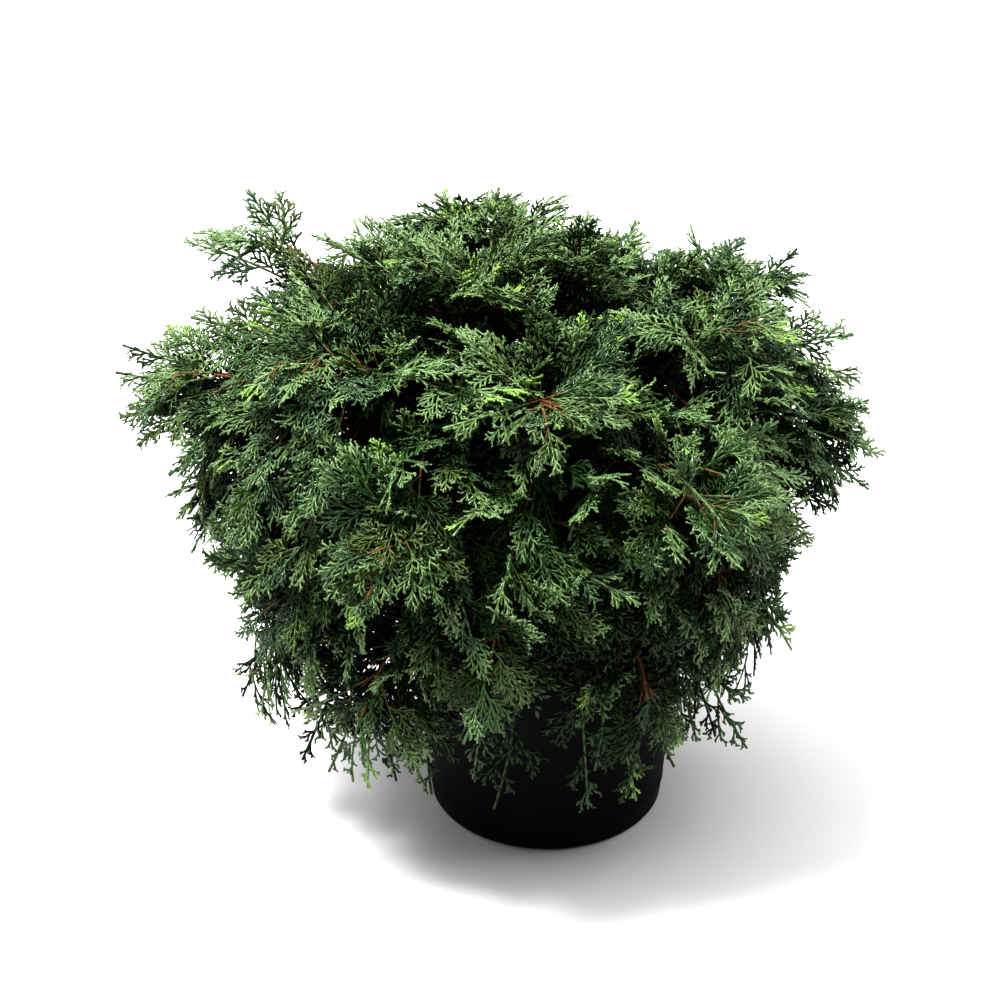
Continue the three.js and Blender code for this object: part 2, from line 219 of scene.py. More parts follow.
class Recipe:
    """Builds one node material, a node at a time."""

    PATTERN = (0.3, 0.7)

    def __init__(self, name: str) -> None:
        """Starts an empty material with its shader.

        Args:
            name: The material's name.
        """
        self.material = bpy.data.materials.new(name)
        self.material.use_nodes = True
        self.tree = self.material.node_tree
        self.shader = self.tree.nodes["Principled BSDF"]

    def node(self, kind: str, **inputs: object) -> bpy.types.Node:
        """Adds a node.

        Args:
            kind: The node's Blender type.
            inputs: Values or outputs, by input name.

        Returns:
            The new node.
        """
        made = self.tree.nodes.new(kind)
        for name, value in inputs.items():
            self.set(made.inputs[name.replace("_", " ")], value)
        return made

    def set(self, socket: Socket, value: object) -> None:
        """Links an output to a socket, or sets the socket's value.

        Args:
            socket: The input to set.
            value: An output socket, or a plain value.
        """
        if isinstance(value, Socket):
            self.tree.links.new(value, socket)
        else:
            socket.default_value = value

    def place(self, scale: Triple = (1, 1, 1), source: str = "Object") -> Socket:
        """Gives coordinates on the piece, stretched by a scale."""
        where = self.node("ShaderNodeTexCoord")
        return self.node("ShaderNodeMapping", Vector=where.outputs[source], Scale=scale).outputs[0]

    def noise(self, where: Socket, scale: float, detail: float = 3) -> Socket:
        """Gives a noise pattern."""
        made = self.node("ShaderNodeTexNoise", Vector=where, Scale=scale, Detail=detail)
        return made.outputs["Fac"]

    def ramp(self, factor: Socket, stops: list[tuple[float, tuple]]) -> Socket:
        """Turns a factor into a colour.

        Args:
            factor: The number to read.
            stops: Pairs of a place and a colour.

        Returns:
            The colour socket.
        """
        made = self.node("ShaderNodeValToRGB", Fac=factor)
        elements = made.color_ramp.elements
        while len(elements) < len(stops):
            elements.new(0.5)
        for element, (place, colour) in zip(elements, stops):
            element.position = place
            element.color = (*colour, 1)
        return made.outputs["Color"]

    def between(self, factor: Socket, low: float, high: float) -> Socket:
        """Maps a pattern's usual range to a range of numbers."""
        ends = {"From_Min": self.PATTERN[0], "From_Max": self.PATTERN[1], "To_Min": low, "To_Max": high}
        return self.node("ShaderNodeMapRange", Value=factor, **ends).outputs[0]

    def bump(self, height: Socket, strength: float, distance: float) -> None:
        """Raises the surface by a pattern."""
        made = self.node("ShaderNodeBump", Height=height, Strength=strength, Distance=distance)
        self.set(self.shader.inputs["Normal"], made.outputs[0])

    def finish(self, **values: object) -> bpy.types.Material:
        """Sets the shader's own sockets.

        Args:
            values: Values or outputs, by input name.

        Returns:
            The finished material.
        """
        for name, value in values.items():
            self.set(self.shader.inputs[name.replace("_", " ")], value)
        return self.material


@dataclass(frozen=True)
class LeafFinish:
    """Scale leaves: a waxy green over fine overlapping scales. Its tint is plain over each piece."""

    name: str
    colour: Triple
    gloss: float = 0.32
    sheen: float = 0.7
    spread: Pair = (-0.08, 0.14)

    def material(self) -> bpy.types.Material:
        """Makes the material.

        Returns:
            The material.
        """
        recipe = Recipe(self.name)
        where = recipe.place()
        recipe.bump(recipe.noise(where, scale=1500, detail=2), strength=0.35, distance=0.0004)
        patches = recipe.noise(where, scale=90, detail=2)
        roughness = recipe.between(patches, *(self.gloss + part for part in self.spread))
        colour = (*self.colour, 1)
        return recipe.finish(Base_Color=colour, Roughness=roughness, Specular_IOR_Level=self.sheen)


@dataclass(frozen=True)
class PatternFinish:
    """A finish whose colour, roughness and relief follow one noise pattern.

    Rough is the roughness at the pattern's two ends, relief a strength and a height in metres.
    """

    name: str
    stops: tuple
    scale: float
    detail: float
    rough: Pair
    sheen: float
    relief: Pair
    stretch: Triple = (1, 1, 1)
    source: str = "Object"
    grain: float | None = None

    def material(self) -> bpy.types.Material:
        """Makes the material, with a fine grain for its relief where it has one.

        Returns:
            The material.
        """
        recipe = Recipe(self.name)
        where = recipe.place(self.stretch, self.source)
        pattern = recipe.noise(where, self.scale, self.detail)
        relief = recipe.noise(where, self.grain, detail=2) if self.grain else pattern
        recipe.bump(relief, *self.relief)
        low, high = self.rough
        return recipe.finish(
            Base_Color=recipe.ramp(pattern, self.stops),
            Roughness=low if low == high else recipe.between(pattern, low, high),
            Specular_IOR_Level=self.sheen,
        )


def bark(name: str, deep: Triple, bright: Triple, strips: Triple, source: str) -> PatternFinish:
    """Gives reddish-brown bark that peels in fine long strips.

    Args:
        name: The material's name.
        deep: Its colour between the strips.
        bright: Its colour on them.
        strips: The strips' fineness.
        source: Their coordinates.

    Returns:
        The finish.
    """
    middle = tuple(mix(a, b, 0.45) for a, b in zip(deep, bright))
    stops = ((0.32, deep), (0.5, middle), (0.68, bright))
    return PatternFinish(name, stops, 1, 4, rough=(0.9, 0.66), sheen=0.25, relief=(0.6, 0.0006),
                         stretch=strips, source=source)


def compost(name: str, wet: Triple, dry: Triple) -> PatternFinish:
    """Gives moist potting compost, from its wet colour to its dry one."""
    return PatternFinish(name, ((0.36, wet), (0.7, dry)), 420, 5, rough=(0.95, 0.95), sheen=0.2,
                         relief=(0.8, 0.0015))


class Tone(Enum):
    """The greens that sprays take. The two darkest also serve as painted shade inside the crown and low
    down, and the pale light green serves partly as painted light on tips and high up.
    """

    # painted shade: the tone of fans little open to the air and of low sprays
    SHADE = LeafFinish("leaf_shade", (0.005, 0.013, 0.002), 0.5, 0.2)
    # a deep green that also stands for painted half shade inside the crown, low down and on the coarse
    # inner fronds
    DEEP = LeafFinish("leaf_deep", (0.014, 0.039, 0.003), 0.4, 0.4)
    GREEN = LeafFinish("leaf_green", (0.033, 0.084, 0.013))
    SEA = LeafFinish("leaf_sea", (0.037, 0.086, 0.029), 0.26)
    MOSS = LeafFinish("leaf_moss", (0.055, 0.098, 0.014))
    # a pale green for paler new tips, and also painted light on tips and on high sprays
    LIGHT = LeafFinish("leaf_light", (0.132, 0.216, 0.078), 0.28)
    FRESH = LeafFinish("leaf_fresh", (0.220, 0.370, 0.060))

    @property
    def number(self) -> int:
        """Gives its place among the tones."""
        return list(Tone).index(self)


BARK = bark("bark", (0.022, 0.010, 0.005), (0.150, 0.070, 0.033), (13, 25, 1), "UV")
TWIG_BARK = bark("twig_bark", (0.045, 0.020, 0.009), (0.230, 0.104, 0.042), (700, 700, 260), "Object")
BLACK_PLASTIC = PatternFinish(
    "black_plastic", ((0.5, (0.0022, 0.0023, 0.0023)), (0.82, (0.006, 0.0054, 0.0044))), 26, 6,
    rough=(0.46, 0.7), sheen=0.1, relief=(0.12, 0.0003), grain=1900,
)
COMPOST = compost("compost", (0.008, 0.0052, 0.0034), (0.055, 0.036, 0.022))
CHIPS = compost("compost_chips", (0.014, 0.008, 0.005), (0.12, 0.07, 0.04))


@dataclass(frozen=True)
class Tier:
    """A ring of limbs. Heights and distances from the axis are in millimetres."""

    name: str
    limbs: int
    turn: float
    root: float
    radius: float
    bough: float
    knee: Pair
    crest: Pair
    tip: Pair


@dataclass(frozen=True)
class Leader:
    """How a limb departs from its tier: degrees aside, share of reach, millimetres of rise.

    It bears no sprays within its bare stretch.
    """

    swing: float = 0
    reach: float = 1
    rise: float = 0
    bare: Pair = (1, 1)


@dataclass
class Habit:
    """The plant's driving sizes in millimetres, the same as the solids'."""

    compost_top: float = 139
    clearance: float = 0.3
    fork: float = 228
    foot_radius: float = 8.5
    tip_radius: float = 4.6
    lean: Pair = (-7, 2)
    root_flare: float = 5.5
    root_lobes: int = 5
    shift: Array = field(default_factory=lambda: np.array([-29.0, 0.0, 0.0]))
    depth: float = 0.96
    profile: tuple = (
        (50, 110), (80, 154), (120, 172), (160, 184), (200, 208), (240, 226), (285, 226),
        (320, 208), (350, 178), (376, 134), (398, 66), (406, 0),
    )
    dome_centre: Array = field(default_factory=lambda: np.array([-29.0, 0.0, 120.0]))
    dome_radii: Array = field(default_factory=lambda: np.array([228.0, 214.0, 268.0]))
    tiers: tuple[Tier, ...] = (
        Tier("skirt", 7, 244, 151, 2.7, 0.38, (70, 190), (186, 222), (154, 74)),
        Tier("lower", 7, 270, 166, 3, 0.36, (74, 214), (192, 270), (202, 168)),
        Tier("middle", 6, 187, 182, 2.8, 0.36, (70, 244), (172, 324), (218, 268)),
        Tier("shoulder", 6, 158, 197, 2.6, 0.38, (46, 280), (116, 366), (176, 350)),
        Tier("top", 2, 30, 216, 2.2, 0.36, (12, 276), (30, 352), (66, 392)),
    )
    leaders: dict[str, Leader] = field(default_factory=lambda: {
        "skirt_7": Leader(bare=(0.52, 0.69)),
        "middle_1": Leader(0, 1.05, 30, (0.56, 0.71)),
        "middle_4": Leader(0, 1.06, -12),
        "shoulder_1": Leader(0, 1.12, 30, (0.5, 0.72)),
        "shoulder_3": Leader(-12, 1.24, -16),
    })
    root_rise: float = 12
    root_offset: float = 3.2
    bough_tip_radius: float = 1.7
    stem_tip_radius: float = 0.8
    stem_end: float = 0.73
    stem_foot: float = 0.06
    turn_jitter: float = 6
    reach_jitter: float = 0.05
    tip_jitter: float = 9
    knee_shift: float = 0.35
    crest_shift: float = 0.85
    crest_share: float = 0.6
    trunk_bend: float = 0.55
    seed: int = 2112
    seed_step: int = 977

    def crown_radius(self, heights: Array) -> Array:
        """Gives the crown's radius at some heights."""
        levels, radii = np.array(self.profile).T
        return np.interp(heights, levels, radii, left=0, right=0)

    def out_of_crown(self, point: Array) -> Array:
        """Gives the direction straight out of the crown's dome beside a point."""
        out = (point - self.dome_centre) / self.dome_radii**2
        return unit(np.array([*out[:2], max(out[2], 0)]))


@dataclass
class Trail:
    """A Bezier curve of any degree, with a sideways direction for where it stands upright."""

    points: Array
    side: Array = field(default_factory=lambda: np.array([1.0, 0.0, 0.0]))
    upright: float = 0.2

    def at(self, share: float) -> Array:
        """Gives a point of the curve.

        Args:
            share: The share of it.

        Returns:
            The point.
        """
        points = self.points
        while len(points) > 1:
            points = points[:-1] * (1 - share) + points[1:] * share
        return points[0]

    def heading(self, share: float) -> Array:
        """Gives the curve's direction at a share of it."""
        return unit(self.at(min(share + NUDGE, 1)) - self.at(max(share - NUDGE, 0)))

    def frame(self, share: float) -> tuple[Array, Array, Array, Array]:
        """Gives the axes of the curve at a point.

        Args:
            share: The share of it.

        Returns:
            The point, the tangent, the level side and the normal.
        """
        tangent = self.heading(share)
        side = np.cross(tangent, UP)
        if np.linalg.norm(side) < self.upright:
            side = self.side
        normal = unit(np.cross(unit(side), tangent))
        return self.at(share), tangent, np.cross(tangent, normal), normal

    def line(self, start: float, end: float, steps: int) -> Array:
        """Gives the points of a stretch of the curve."""
        return np.array([self.at(mix(start, end, k / steps)) for k in range(steps + 1)])


@dataclass
class Limb:
    """One limb: a bare bough that runs on as the stem of its mass."""

    place: str
    tier: Tier
    trail: Trail
    seed: int


def trunk_trail(habit: Habit) -> Trail:
    """Gives the trunk's own line, from the compost to its fork.

    Args:
        habit: The plant's sizes.

    Returns:
        The line.
    """
    foot = np.array([0, 0, habit.compost_top + habit.clearance])
    tip = np.array([*habit.lean, habit.fork])
    bend = np.array([0, 0, mix(foot[2], tip[2], habit.trunk_bend)])
    return Trail(np.array([foot, bend, tip]))


def plant_limbs(habit: Habit) -> list[Limb]:
    """Gives every limb of every tier.

    Args:
        habit: The plant's sizes.

    Returns:
        The limbs, in the order of their nodes.
    """
    draw = SeededRow(habit.seed)
    trunk = trunk_trail(habit)
    limbs: list[Limb] = []
    for tier in habit.tiers:
        for i in range(tier.limbs):
            place = f"{tier.name}_{i + 1}"
            leader = habit.leaders.get(place, Leader())
            turn = tier.turn - 360 / tier.limbs * i + leader.swing + draw.around(habit.turn_jitter)
            reach = leader.reach * (1 + draw.around(habit.reach_jitter))
            rise = leader.rise + draw.around(habit.tip_jitter)
            root_height = tier.root + habit.root_rise * ((3 * i) % tier.limbs) / tier.limbs
            out = compass(turn)

            def steer(spot: Pair, shift: float, share: float) -> Array:
                """Gives a steering point, which follows the limb's reach and rise by a share."""
                level = out * spot[0] * mix(1, reach, share) + habit.shift * shift
                return np.array([*level[:2], spot[1] + rise * share])

            share = (root_height - habit.compost_top) / (habit.fork - habit.compost_top)
            root = trunk.at(share) + out * habit.root_offset
            knee = steer(tier.knee, habit.knee_shift, 0)
            crest = steer(tier.crest, habit.crest_shift, habit.crest_share)
            trail = Trail(np.array([root, knee, crest, steer(tier.tip, 1, 1)]), compass(turn - 90))
            limbs.append(Limb(place, tier, trail, habit.seed + habit.seed_step * (len(limbs) + 1)))
    return limbs


@dataclass
class Spray:
    """A flat spray's place: its root, its own axes, its length and its fingers."""

    root: Array
    direction: Array
    face: Array
    across: Array
    length: float
    hub: float
    angles: list[float]
    reaches: list[float]
    leads: bool
    seed: int
    droop: float

    def rim(self) -> tuple[Array, Array]:
        """Gives the outline's points, along and across the spray."""
        turns = np.radians(self.angles)
        return self.hub + self.reaches * np.cos(turns), self.reaches * np.sin(turns)

    def tip_height(self) -> float:
        """Gives the height of its tip, before it droops."""
        return self.root[2] + self.length * self.direction[2]


@dataclass(frozen=True)
class Wave:
    """One round of sprays along every limb.

    It runs from end, near the limb's tip, back to foot, a share of the bare bough, or to just past
    the bough. The sprays spiral round the limb, or keep within outward degrees of its outer side.
    """

    sprays: int
    length: float
    seed: int = 0
    offset: float = 0
    end: float = 0.73
    foot: float | None = None
    leads: bool = False
    own_space: bool = False
    fine: bool = True
    swing: Pair = (40, 72)
    outward: float | None = None
    narrow: float = 1
    droop: float | None = None
    hang: float = 0
    sides: int = 1
    tiers: tuple[str, ...] = ("skirt", "lower", "middle", "shoulder", "top")


@dataclass
class SprayRule:
    """The rule that puts sprays round a stem. Lengths in millimetres, angles in degrees."""

    length_jitter: float = 0.12
    sizes: tuple[float, ...] = (1, 0.92, 0.84, 0.76, 0.68, 0.6, 0.52)
    swing_jitter: float = 6
    spiral: float = 137.5
    spiral_jitter: float = 12
    shifts: tuple[float, ...] = (0, 24, -24, 48, -48, 72, -72)
    flatten: float = 0.4
    droop: float = 0.1
    hub: float = 0.25
    finger_angles: tuple[float, ...] = (0, 36, 80)
    finger_reach: tuple[float, ...] = (0.75, 0.72, 0.55)
    finger_jitter: float = 0.1
    finger_turn_jitter: float = 3
    notch: float = 0.75
    narrow_from: float = 60
    face_jitter: float = 0.2
    tests: tuple[float, ...] = (0.4, 0.7, 1)
    stem_steps: int = 8
    bough_steps: int = 6
    space_gap: float = 1
    limb_gap: float = 2.2
    pot_gap: float = 3
    rim_radius: float = 95
    pot_height: float = 155
    lowest: float = 22
    hollows: tuple = (
        ((45, 50, 402), 40), ((-5, 60, 406), 30), ((-196, -50, 150), 30), ((150, -60, 112), 26),
        ((2, -127, 100), 42), ((-50, -124, 88), 30), ((48, -120, 84), 34), ((-192, 0, 166), 30),
        ((109, -60, 125), 26), ((-86, 60, 386), 26), ((-186, -12, 318), 21),
    )

    def fingers(self, length: float, draw: SeededRow) -> tuple[list[float], list[float]]:
        """Gives a spray's fingers and the notches between them.

        Args:
            length: The spray's length.
            draw: The random row.

        Returns:
            Their angles and their reaches.
        """
        fingers = []
        for hand in (-1, 1):
            for i, angle in enumerate(self.finger_angles):
                if i == 0 and hand == 1:
                    continue
                reach = self.finger_reach[i] * length * (1 + draw.around(self.finger_jitter))
                turn = hand * angle + draw.around(0 if i == 0 else self.finger_turn_jitter)
                fingers.append((turn, reach))
        fingers.sort()
        rim = [fingers[0]]
        for (turn, reach), (next_turn, next_reach) in zip(fingers, fingers[1:]):
            rim.append(((turn + next_turn) / 2, self.notch * min(reach, next_reach)))
            rim.append((next_turn, next_reach))
        return [turn for turn, _ in rim], [reach for _, reach in rim]

    def spray(self, root: Array, direction: Array, face: Array, length: float, seed: int,
              leads: bool = False, narrow: float = 1, droop: float | None = None) -> Spray:
        """Gives a spray with its own fingers.

        Args:
            root: Where it leaves its limb.
            direction: Which way it points.
            face: Where its upper side looks.
            length: Its length.
            seed: Picks its fingers and its growth.
            leads: True if it carries its limb's tip.
            narrow: How wide its fingers spread.
            droop: How far its tip sinks, if not as usual.

        Returns:
            The spray.
        """
        angles, reaches = self.fingers(length, SeededRow(seed))
        shares = [mix(1, narrow, min(abs(turn) / self.narrow_from, 1)) for turn in angles]
        return Spray(
            root, direction, face, np.cross(face, direction), length, self.hub * length,
            angles=[turn * narrow for turn in angles],
            reaches=[reach * share for reach, share in zip(reaches, shares)],
            leads=leads, seed=seed, droop=self.droop if droop is None else droop,
        )

    def clear_of_pot(self, points: Array) -> Array:
        """Tells which points are above the ground and clear of the pot."""
        far = np.hypot(points[:, 0], points[:, 1]) > self.rim_radius + self.pot_gap
        return (points[:, 2] > self.lowest) & (far | (points[:, 2] > self.pot_height + self.pot_gap))


def distances(points: Array, lines: Array) -> Array:
    """Measures how far points lie from some rows of points joined by straight lines.

    Args:
        points: Rows of x, y, z.
        lines: One row of points for each line, all of the same count.

    Returns:
        One row for each point, with its distance to each line.
    """
    start, step = lines[:, :-1], np.diff(lines, axis=1)
    offset = points[:, None, None] - start
    share = np.clip((offset * step).sum(-1) / (step**2).sum(-1), 0, 1)
    return np.linalg.norm(offset - share[..., None] * step, axis=-1).min(-1)


class SprayFinder:
    """Finds the largest spray that fits each place on a limb's stem."""

    def __init__(self, habit: Habit, rule: SprayRule, limbs: list[Limb]) -> None:
        """Keeps the rule, and the lines that sprays keep clear of.

        Args:
            habit: The plant's sizes.
            rule: The rule that puts sprays round a stem.
            limbs: All the limbs.
        """
        self.habit = habit
        self.rule = rule
        self.limbs = limbs
        self.stems = np.array([limb.trail.line(limb.tier.bough, 1, rule.stem_steps) for limb in limbs])
        self.boughs = np.array([limb.trail.line(0, limb.tier.bough, rule.bough_steps) for limb in limbs])
        self.bough_gaps = np.array([limb.tier.radius + rule.limb_gap for limb in limbs])

    def fits(self, spray: Spray, own: int | None) -> bool:
        """Tells if a spray may stand where it is.

        Args:
            spray: The spray.
            own: Its own limb's number if it keeps to that limb's space.

        Returns:
            True if it is off the pot, within the crown, and in its space or out of the hollows.
        """
        rule, habit = self.rule, self.habit
        along, across = spray.rim()
        shares = np.array(rule.tests)[:, None]
        u = (spray.hub + (along - spray.hub) * shares).ravel()
        v = (across * shares).ravel()
        points = on_spray(spray, u, v, np.zeros_like(u))
        if not rule.clear_of_pot(points).all():
            return False
        flat = (points - habit.shift)[:, :2] / (1, habit.depth)
        if not spray.leads and (np.hypot(*flat.T) > habit.crown_radius(points[:, 2])).any():
            return False
        if own is None:
            return all((np.linalg.norm(points - spot, axis=1) >= far).all() for spot, far in rule.hollows)
        stems = distances(points, self.stems)
        others = np.delete(stems, own, axis=1)
        if (others < stems[:, own, None] + rule.space_gap).any():
            return False
        return not (distances(points, self.boughs) < self.bough_gaps).any()

    def slots(self, limb: Limb, wave: Wave) -> Iterator[Callable[[float, float], Spray]]:
        """Gives each place on a limb as a function of a size and a shift round the limb.

        Args:
            limb: The limb that carries the sprays.
            wave: The wave.

        Yields:
            A function that gives the spray, with its size and turn chosen.
        """
        rule, habit = self.rule, self.habit
        draw = SeededRow(limb.seed + wave.seed)
        tip = limb.trail.at(1)
        foot = limb.tier.bough + habit.stem_foot
        for i in range(wave.sprays):
            share = (i + wave.offset) / (wave.sprays - 1)
            where = mix(wave.end, foot if wave.foot is None else wave.foot * limb.tier.bough, share)
            bare = habit.leaders.get(limb.place, Leader()).bare
            if bare[0] < where < bare[1]:
                continue
            root, tangent, side, normal = limb.trail.frame(where)
            swing = radians(mix(*wave.swing, share) + draw.around(rule.swing_jitter))
            spiral = rule.spiral * (i + 3 * wave.offset) + draw.around(rule.spiral_jitter)
            if wave.outward is not None:
                out = habit.out_of_crown(root)
                outer = degrees(atan2(out @ normal, out @ side))
                spiral = outer + draw.around(wave.outward)
            aside = draw.around(rule.face_jitter)
            stretch = 1 + draw.around(rule.length_jitter)
            seed = draw.seed()
            leads = i == 0 and wave.leads
            full = float(np.linalg.norm(tip - root)) if leads else wave.length * stretch

            def spray_in(size: float, shift: float) -> Spray:
                """Gives the spray of this place.

                Args:
                    size: Its size as a share of the full one.
                    shift: How far it is turned aside round the limb.

                Returns:
                    The spray.
                """
                out = habit.out_of_crown(root)
                turn = radians(spiral + shift)
                aim = tangent * cos(swing) + sin(swing) * (side * cos(turn) + normal * sin(turn))
                aim = aim - rule.flatten * (aim @ out) * out - wave.hang * UP
                direction = unit(tip - root if leads else aim)
                face = square_to(out + side * aside, direction)
                length = full * size
                return rule.spray(root, direction, face, length, seed, leads, wave.narrow, wave.droop)

            yield spray_in

    def sprays(self, wave: Wave) -> Iterator[Spray]:
        """Gives every spray of a wave that fits, limb by limb.

        Args:
            wave: The wave.

        Yields:
            The sprays.
        """
        for own, limb in enumerate(self.limbs):
            for spray_in in self.slots(limb, wave) if limb.tier.name in wave.tiers else ():
                spray = self.first_fit(spray_in, own if wave.own_space else None)
                if spray:
                    yield spray

    def first_fit(self, spray_in: Callable[[float, float], Spray], own: int | None) -> Spray | None:
        """Tries sizes from the largest, each at several turns round the stem.

        Args:
            spray_in: Gives the spray from a size and a turn.
            own: Its own limb's number if it keeps to that limb's space.

        Returns:
            The first spray that fits, or none.
        """
        for size in self.rule.sizes:
            for shift in self.rule.shifts:
                spray = spray_in(size, shift)
                if self.fits(spray, own):
                    return spray
                if spray.leads:
                    break
        return None


def on_spray(spray: Spray, u: Array, v: Array, h: Array) -> Array:
    """Puts points of a spray in their place on the plant.

    Args:
        spray: The spray.
        u: How far along it they are.
        v: How far across it they are.
        h: How far above it they are.

    Returns:
        Rows of x, y, z.
    """
    sag = spray.droop * spray.length * (np.maximum(u, 0) / spray.length) ** 2
    flat = spray.root + u[:, None] * spray.direction + v[:, None] * spray.across
    return flat + (h - sag)[:, None] * spray.face


@dataclass
class Branchlet:
    """A spray on a twig of its own, with the twig's points from its stem to the spray."""

    spray: Spray
    path: Array


@dataclass
class Mantle:
    """An even cover of sprays near the crown's surface, and the tufts of its outline.

    Sprays point out of the crown, each on a twig from the nearest stem behind it. The hem gives the
    cover's lowest height at some bearings, rises how far above the level sprays point at some
    heights, and tilts how far they lean aside. A tuft is its tip's place, rise, length and swing
    aside. Its upper side looks along look. Lengths are in millimetres, angles in degrees.
    """

    habit: Habit
    rule: SprayRule
    finder: SprayFinder
    count: int = 410
    lengths: Pair = (54, 90)
    cover_depth: float = 32
    valley: float = 32
    hem: tuple = (
        (0, 96), (180, 84), (205, 98), (236, 122), (250, 176), (300, 178), (318, 136), (345, 106),
        (360, 96),
    )
    rises: tuple = (
        (60, -78), (120, -66), (170, -50), (220, -34), (280, -16), (330, 10), (370, 40), (406, 72),
    )
    rise_jitter: float = 20
    swing: float = 46
    tilts: tuple = ((240, 1.0), (350, 0.6))
    droops: Pair = (0.06, 0.2)
    narrow: float = 0.84
    farthest: float = 110
    twig_leave: Pair = (0.35, 0.3)
    twig_end: float = 0.4
    twig_steps: int = 8
    ahead_cost: float = 3
    levels: int = 400
    look: Triple = (0, -0.8, 1)
    seed: int = 4077
    tufts: tuple = (
        (-259, 0, 310, 12, 74, 0), (-252, -20, 290, -6, 70, 0), (-246, -44, 276, -22, 66, 12),
        (-232, 20, 322, 22, 60, -14), (-219, 40, 374, 30, 62, 16), (-186, 60, 392, 48, 56, 0),
        (-216, 20, 330, 20, 60, 0), (181, 10, 324, 14, 64, 0), (155, 60, 352, 34, 60, 0),
        (122, 90, 351, 40, 60, 0), (203, -10, 252, -16, 66, 0), (195, 0, 276, 4, 64, 8),
        (174, -20, 213, -30, 60, 0), (153, -60, 148, -42, 62, 0), (117, -70, 72, -66, 66, 0),
        (92, -90, 96, -64, 60, 0), (-154, -70, 68, -62, 64, 0), (-131, -90, 70, -66, 62, 0),
        (-79, -110, 70, -76, 64, 0), (-197, -40, 100, -54, 60, 0), (-212, -20, 172, -34, 60, 0),
        (-223, -10, 197, -20, 60, 0), (-21, -130, 72, -84, 84, 0), (-42, -135, 98, -78, 72, 0),
        (-32, -124, 100, -84, 80, 20), (21, -128, 72, -82, 84, 0), (47, -118, 70, -80, 80, 0),
        (66, -104, 82, -72, 70, 0), (34, -126, 98, -80, 72, -16), (-63, 88, 383, 52, 52, 0),
        (-39, 88, 385, 58, 50, 0), (-102, 84, 368, 44, 54, 0), (58, 88, 361, 44, 54, 0),
        (89, 86, 348, 38, 56, 0), (-62, -42, 374, 48, 62, 20), (-34, -46, 370, 40, 62, -15),
        (-92, -30, 368, 44, 60, 0), (2, -44, 372, 46, 62, 10), (-128, 70, 366, 44, 58, 0),
        (-112, 80, 371, 50, 56, 0), (84, -92, 104, -70, 70, -12), (104, -78, 92, -66, 66, 10),
        (-262, -6, 296, 6, 74, 0), (-256, -30, 284, -12, 70, 0), (196, -16, 236, -24, 64, 0),
        (160, -30, 200, -40, 62, 0), (146, -50, 158, -36, 60, 0), (-62, -64, 360, 36, 60, 16),
        (-30, -60, 362, 40, 60, -10), (-47, -50, 367, 50, 58, 0), (-86, -56, 358, 34, 60, -12),
        (-14, -54, 364, 44, 60, 18), (14, -60, 356, 36, 60, 0), (-40, -84, 352, 26, 54, 8),
        (-66, -78, 350, 22, 54, -14), (-18, -86, 350, 24, 54, 20), (-114, -100, 128, -62, 64, 0),
        (-102, -110, 140, -60, 62, 12), (-124, -92, 142, -56, 60, -10), (-108, -96, 168, -50, 60, 0),
    )

    def surface(self) -> Iterator[Array]:
        """Spreads points evenly over the crown, in a spiral from its foot to its top.

        Yields:
            The points above the hem.
        """
        heights = np.linspace(min(low for _, low in self.hem), self.habit.profile[-1][0], self.levels)
        radii = self.habit.crown_radius(heights)
        area = np.cumsum(radii * np.hypot(np.gradient(radii), np.gradient(heights)))
        for i in range(self.count):
            height = float(np.interp((i + 0.5) / self.count * area[-1], area, heights))
            radius = float(self.habit.crown_radius(np.array(height)))
            bearing = self.rule.spiral * i % 360
            point = compass(bearing) * radius * (1, self.habit.depth, 1) + self.habit.shift
            point[2] = height
            if height > np.interp(bearing, *np.array(self.hem).T):
                yield point

    def twig(self, root: Array, direction: Array) -> Array | None:
        """Leads a twig to a spray through the crown, so that the leaves hide it.

        Args:
            root: Where the spray starts.
            direction: Which way the spray points.

        Returns:
            The twig's points from the nearest stem, or none if that is too far.
        """
        out = self.habit.out_of_crown(root)
        boughs = self.finder.boughs[:, 2:].reshape(-1, 3)
        spots = np.concatenate([self.finder.stems.reshape(-1, 3), boughs])
        step = root - spots
        far = np.linalg.norm(step, axis=1)
        ahead = np.maximum(-step @ direction, 0)
        above = np.maximum(-step @ out, 0)
        nearest = int(np.argmin(far + self.ahead_cost * ahead + above))
        if far[nearest] > self.farthest:
            return None
        start, size = spots[nearest], far[nearest]
        leave = mix(start, root, self.twig_leave[0]) - out * self.twig_leave[1] * size
        arrive = root - direction * self.twig_end * size
        return Trail(np.array([start, leave, arrive, root])).line(0, 1, self.twig_steps)

    def branchlet(self, tip: Array, direction: Array, face: Array, length: float,
                  seed: int, droop: float) -> Branchlet | None:
        """Gives a spray that ends at a tip, on its twig.

        Args:
            tip: Where the spray ends.
            direction: Which way it points.
            face: Where its upper side looks.
            length: Its length.
            seed: Picks its fingers and its growth.
            droop: How far its tip sinks.

        Returns:
            The branchlet, or none if no stem is near.
        """
        root = tip - direction * length + face * droop * length
        path = self.twig(root, direction)
        if path is None:
            return None
        spray = self.rule.spray(root, direction, face, length, seed, False, self.narrow, droop)
        return Branchlet(spray, path)

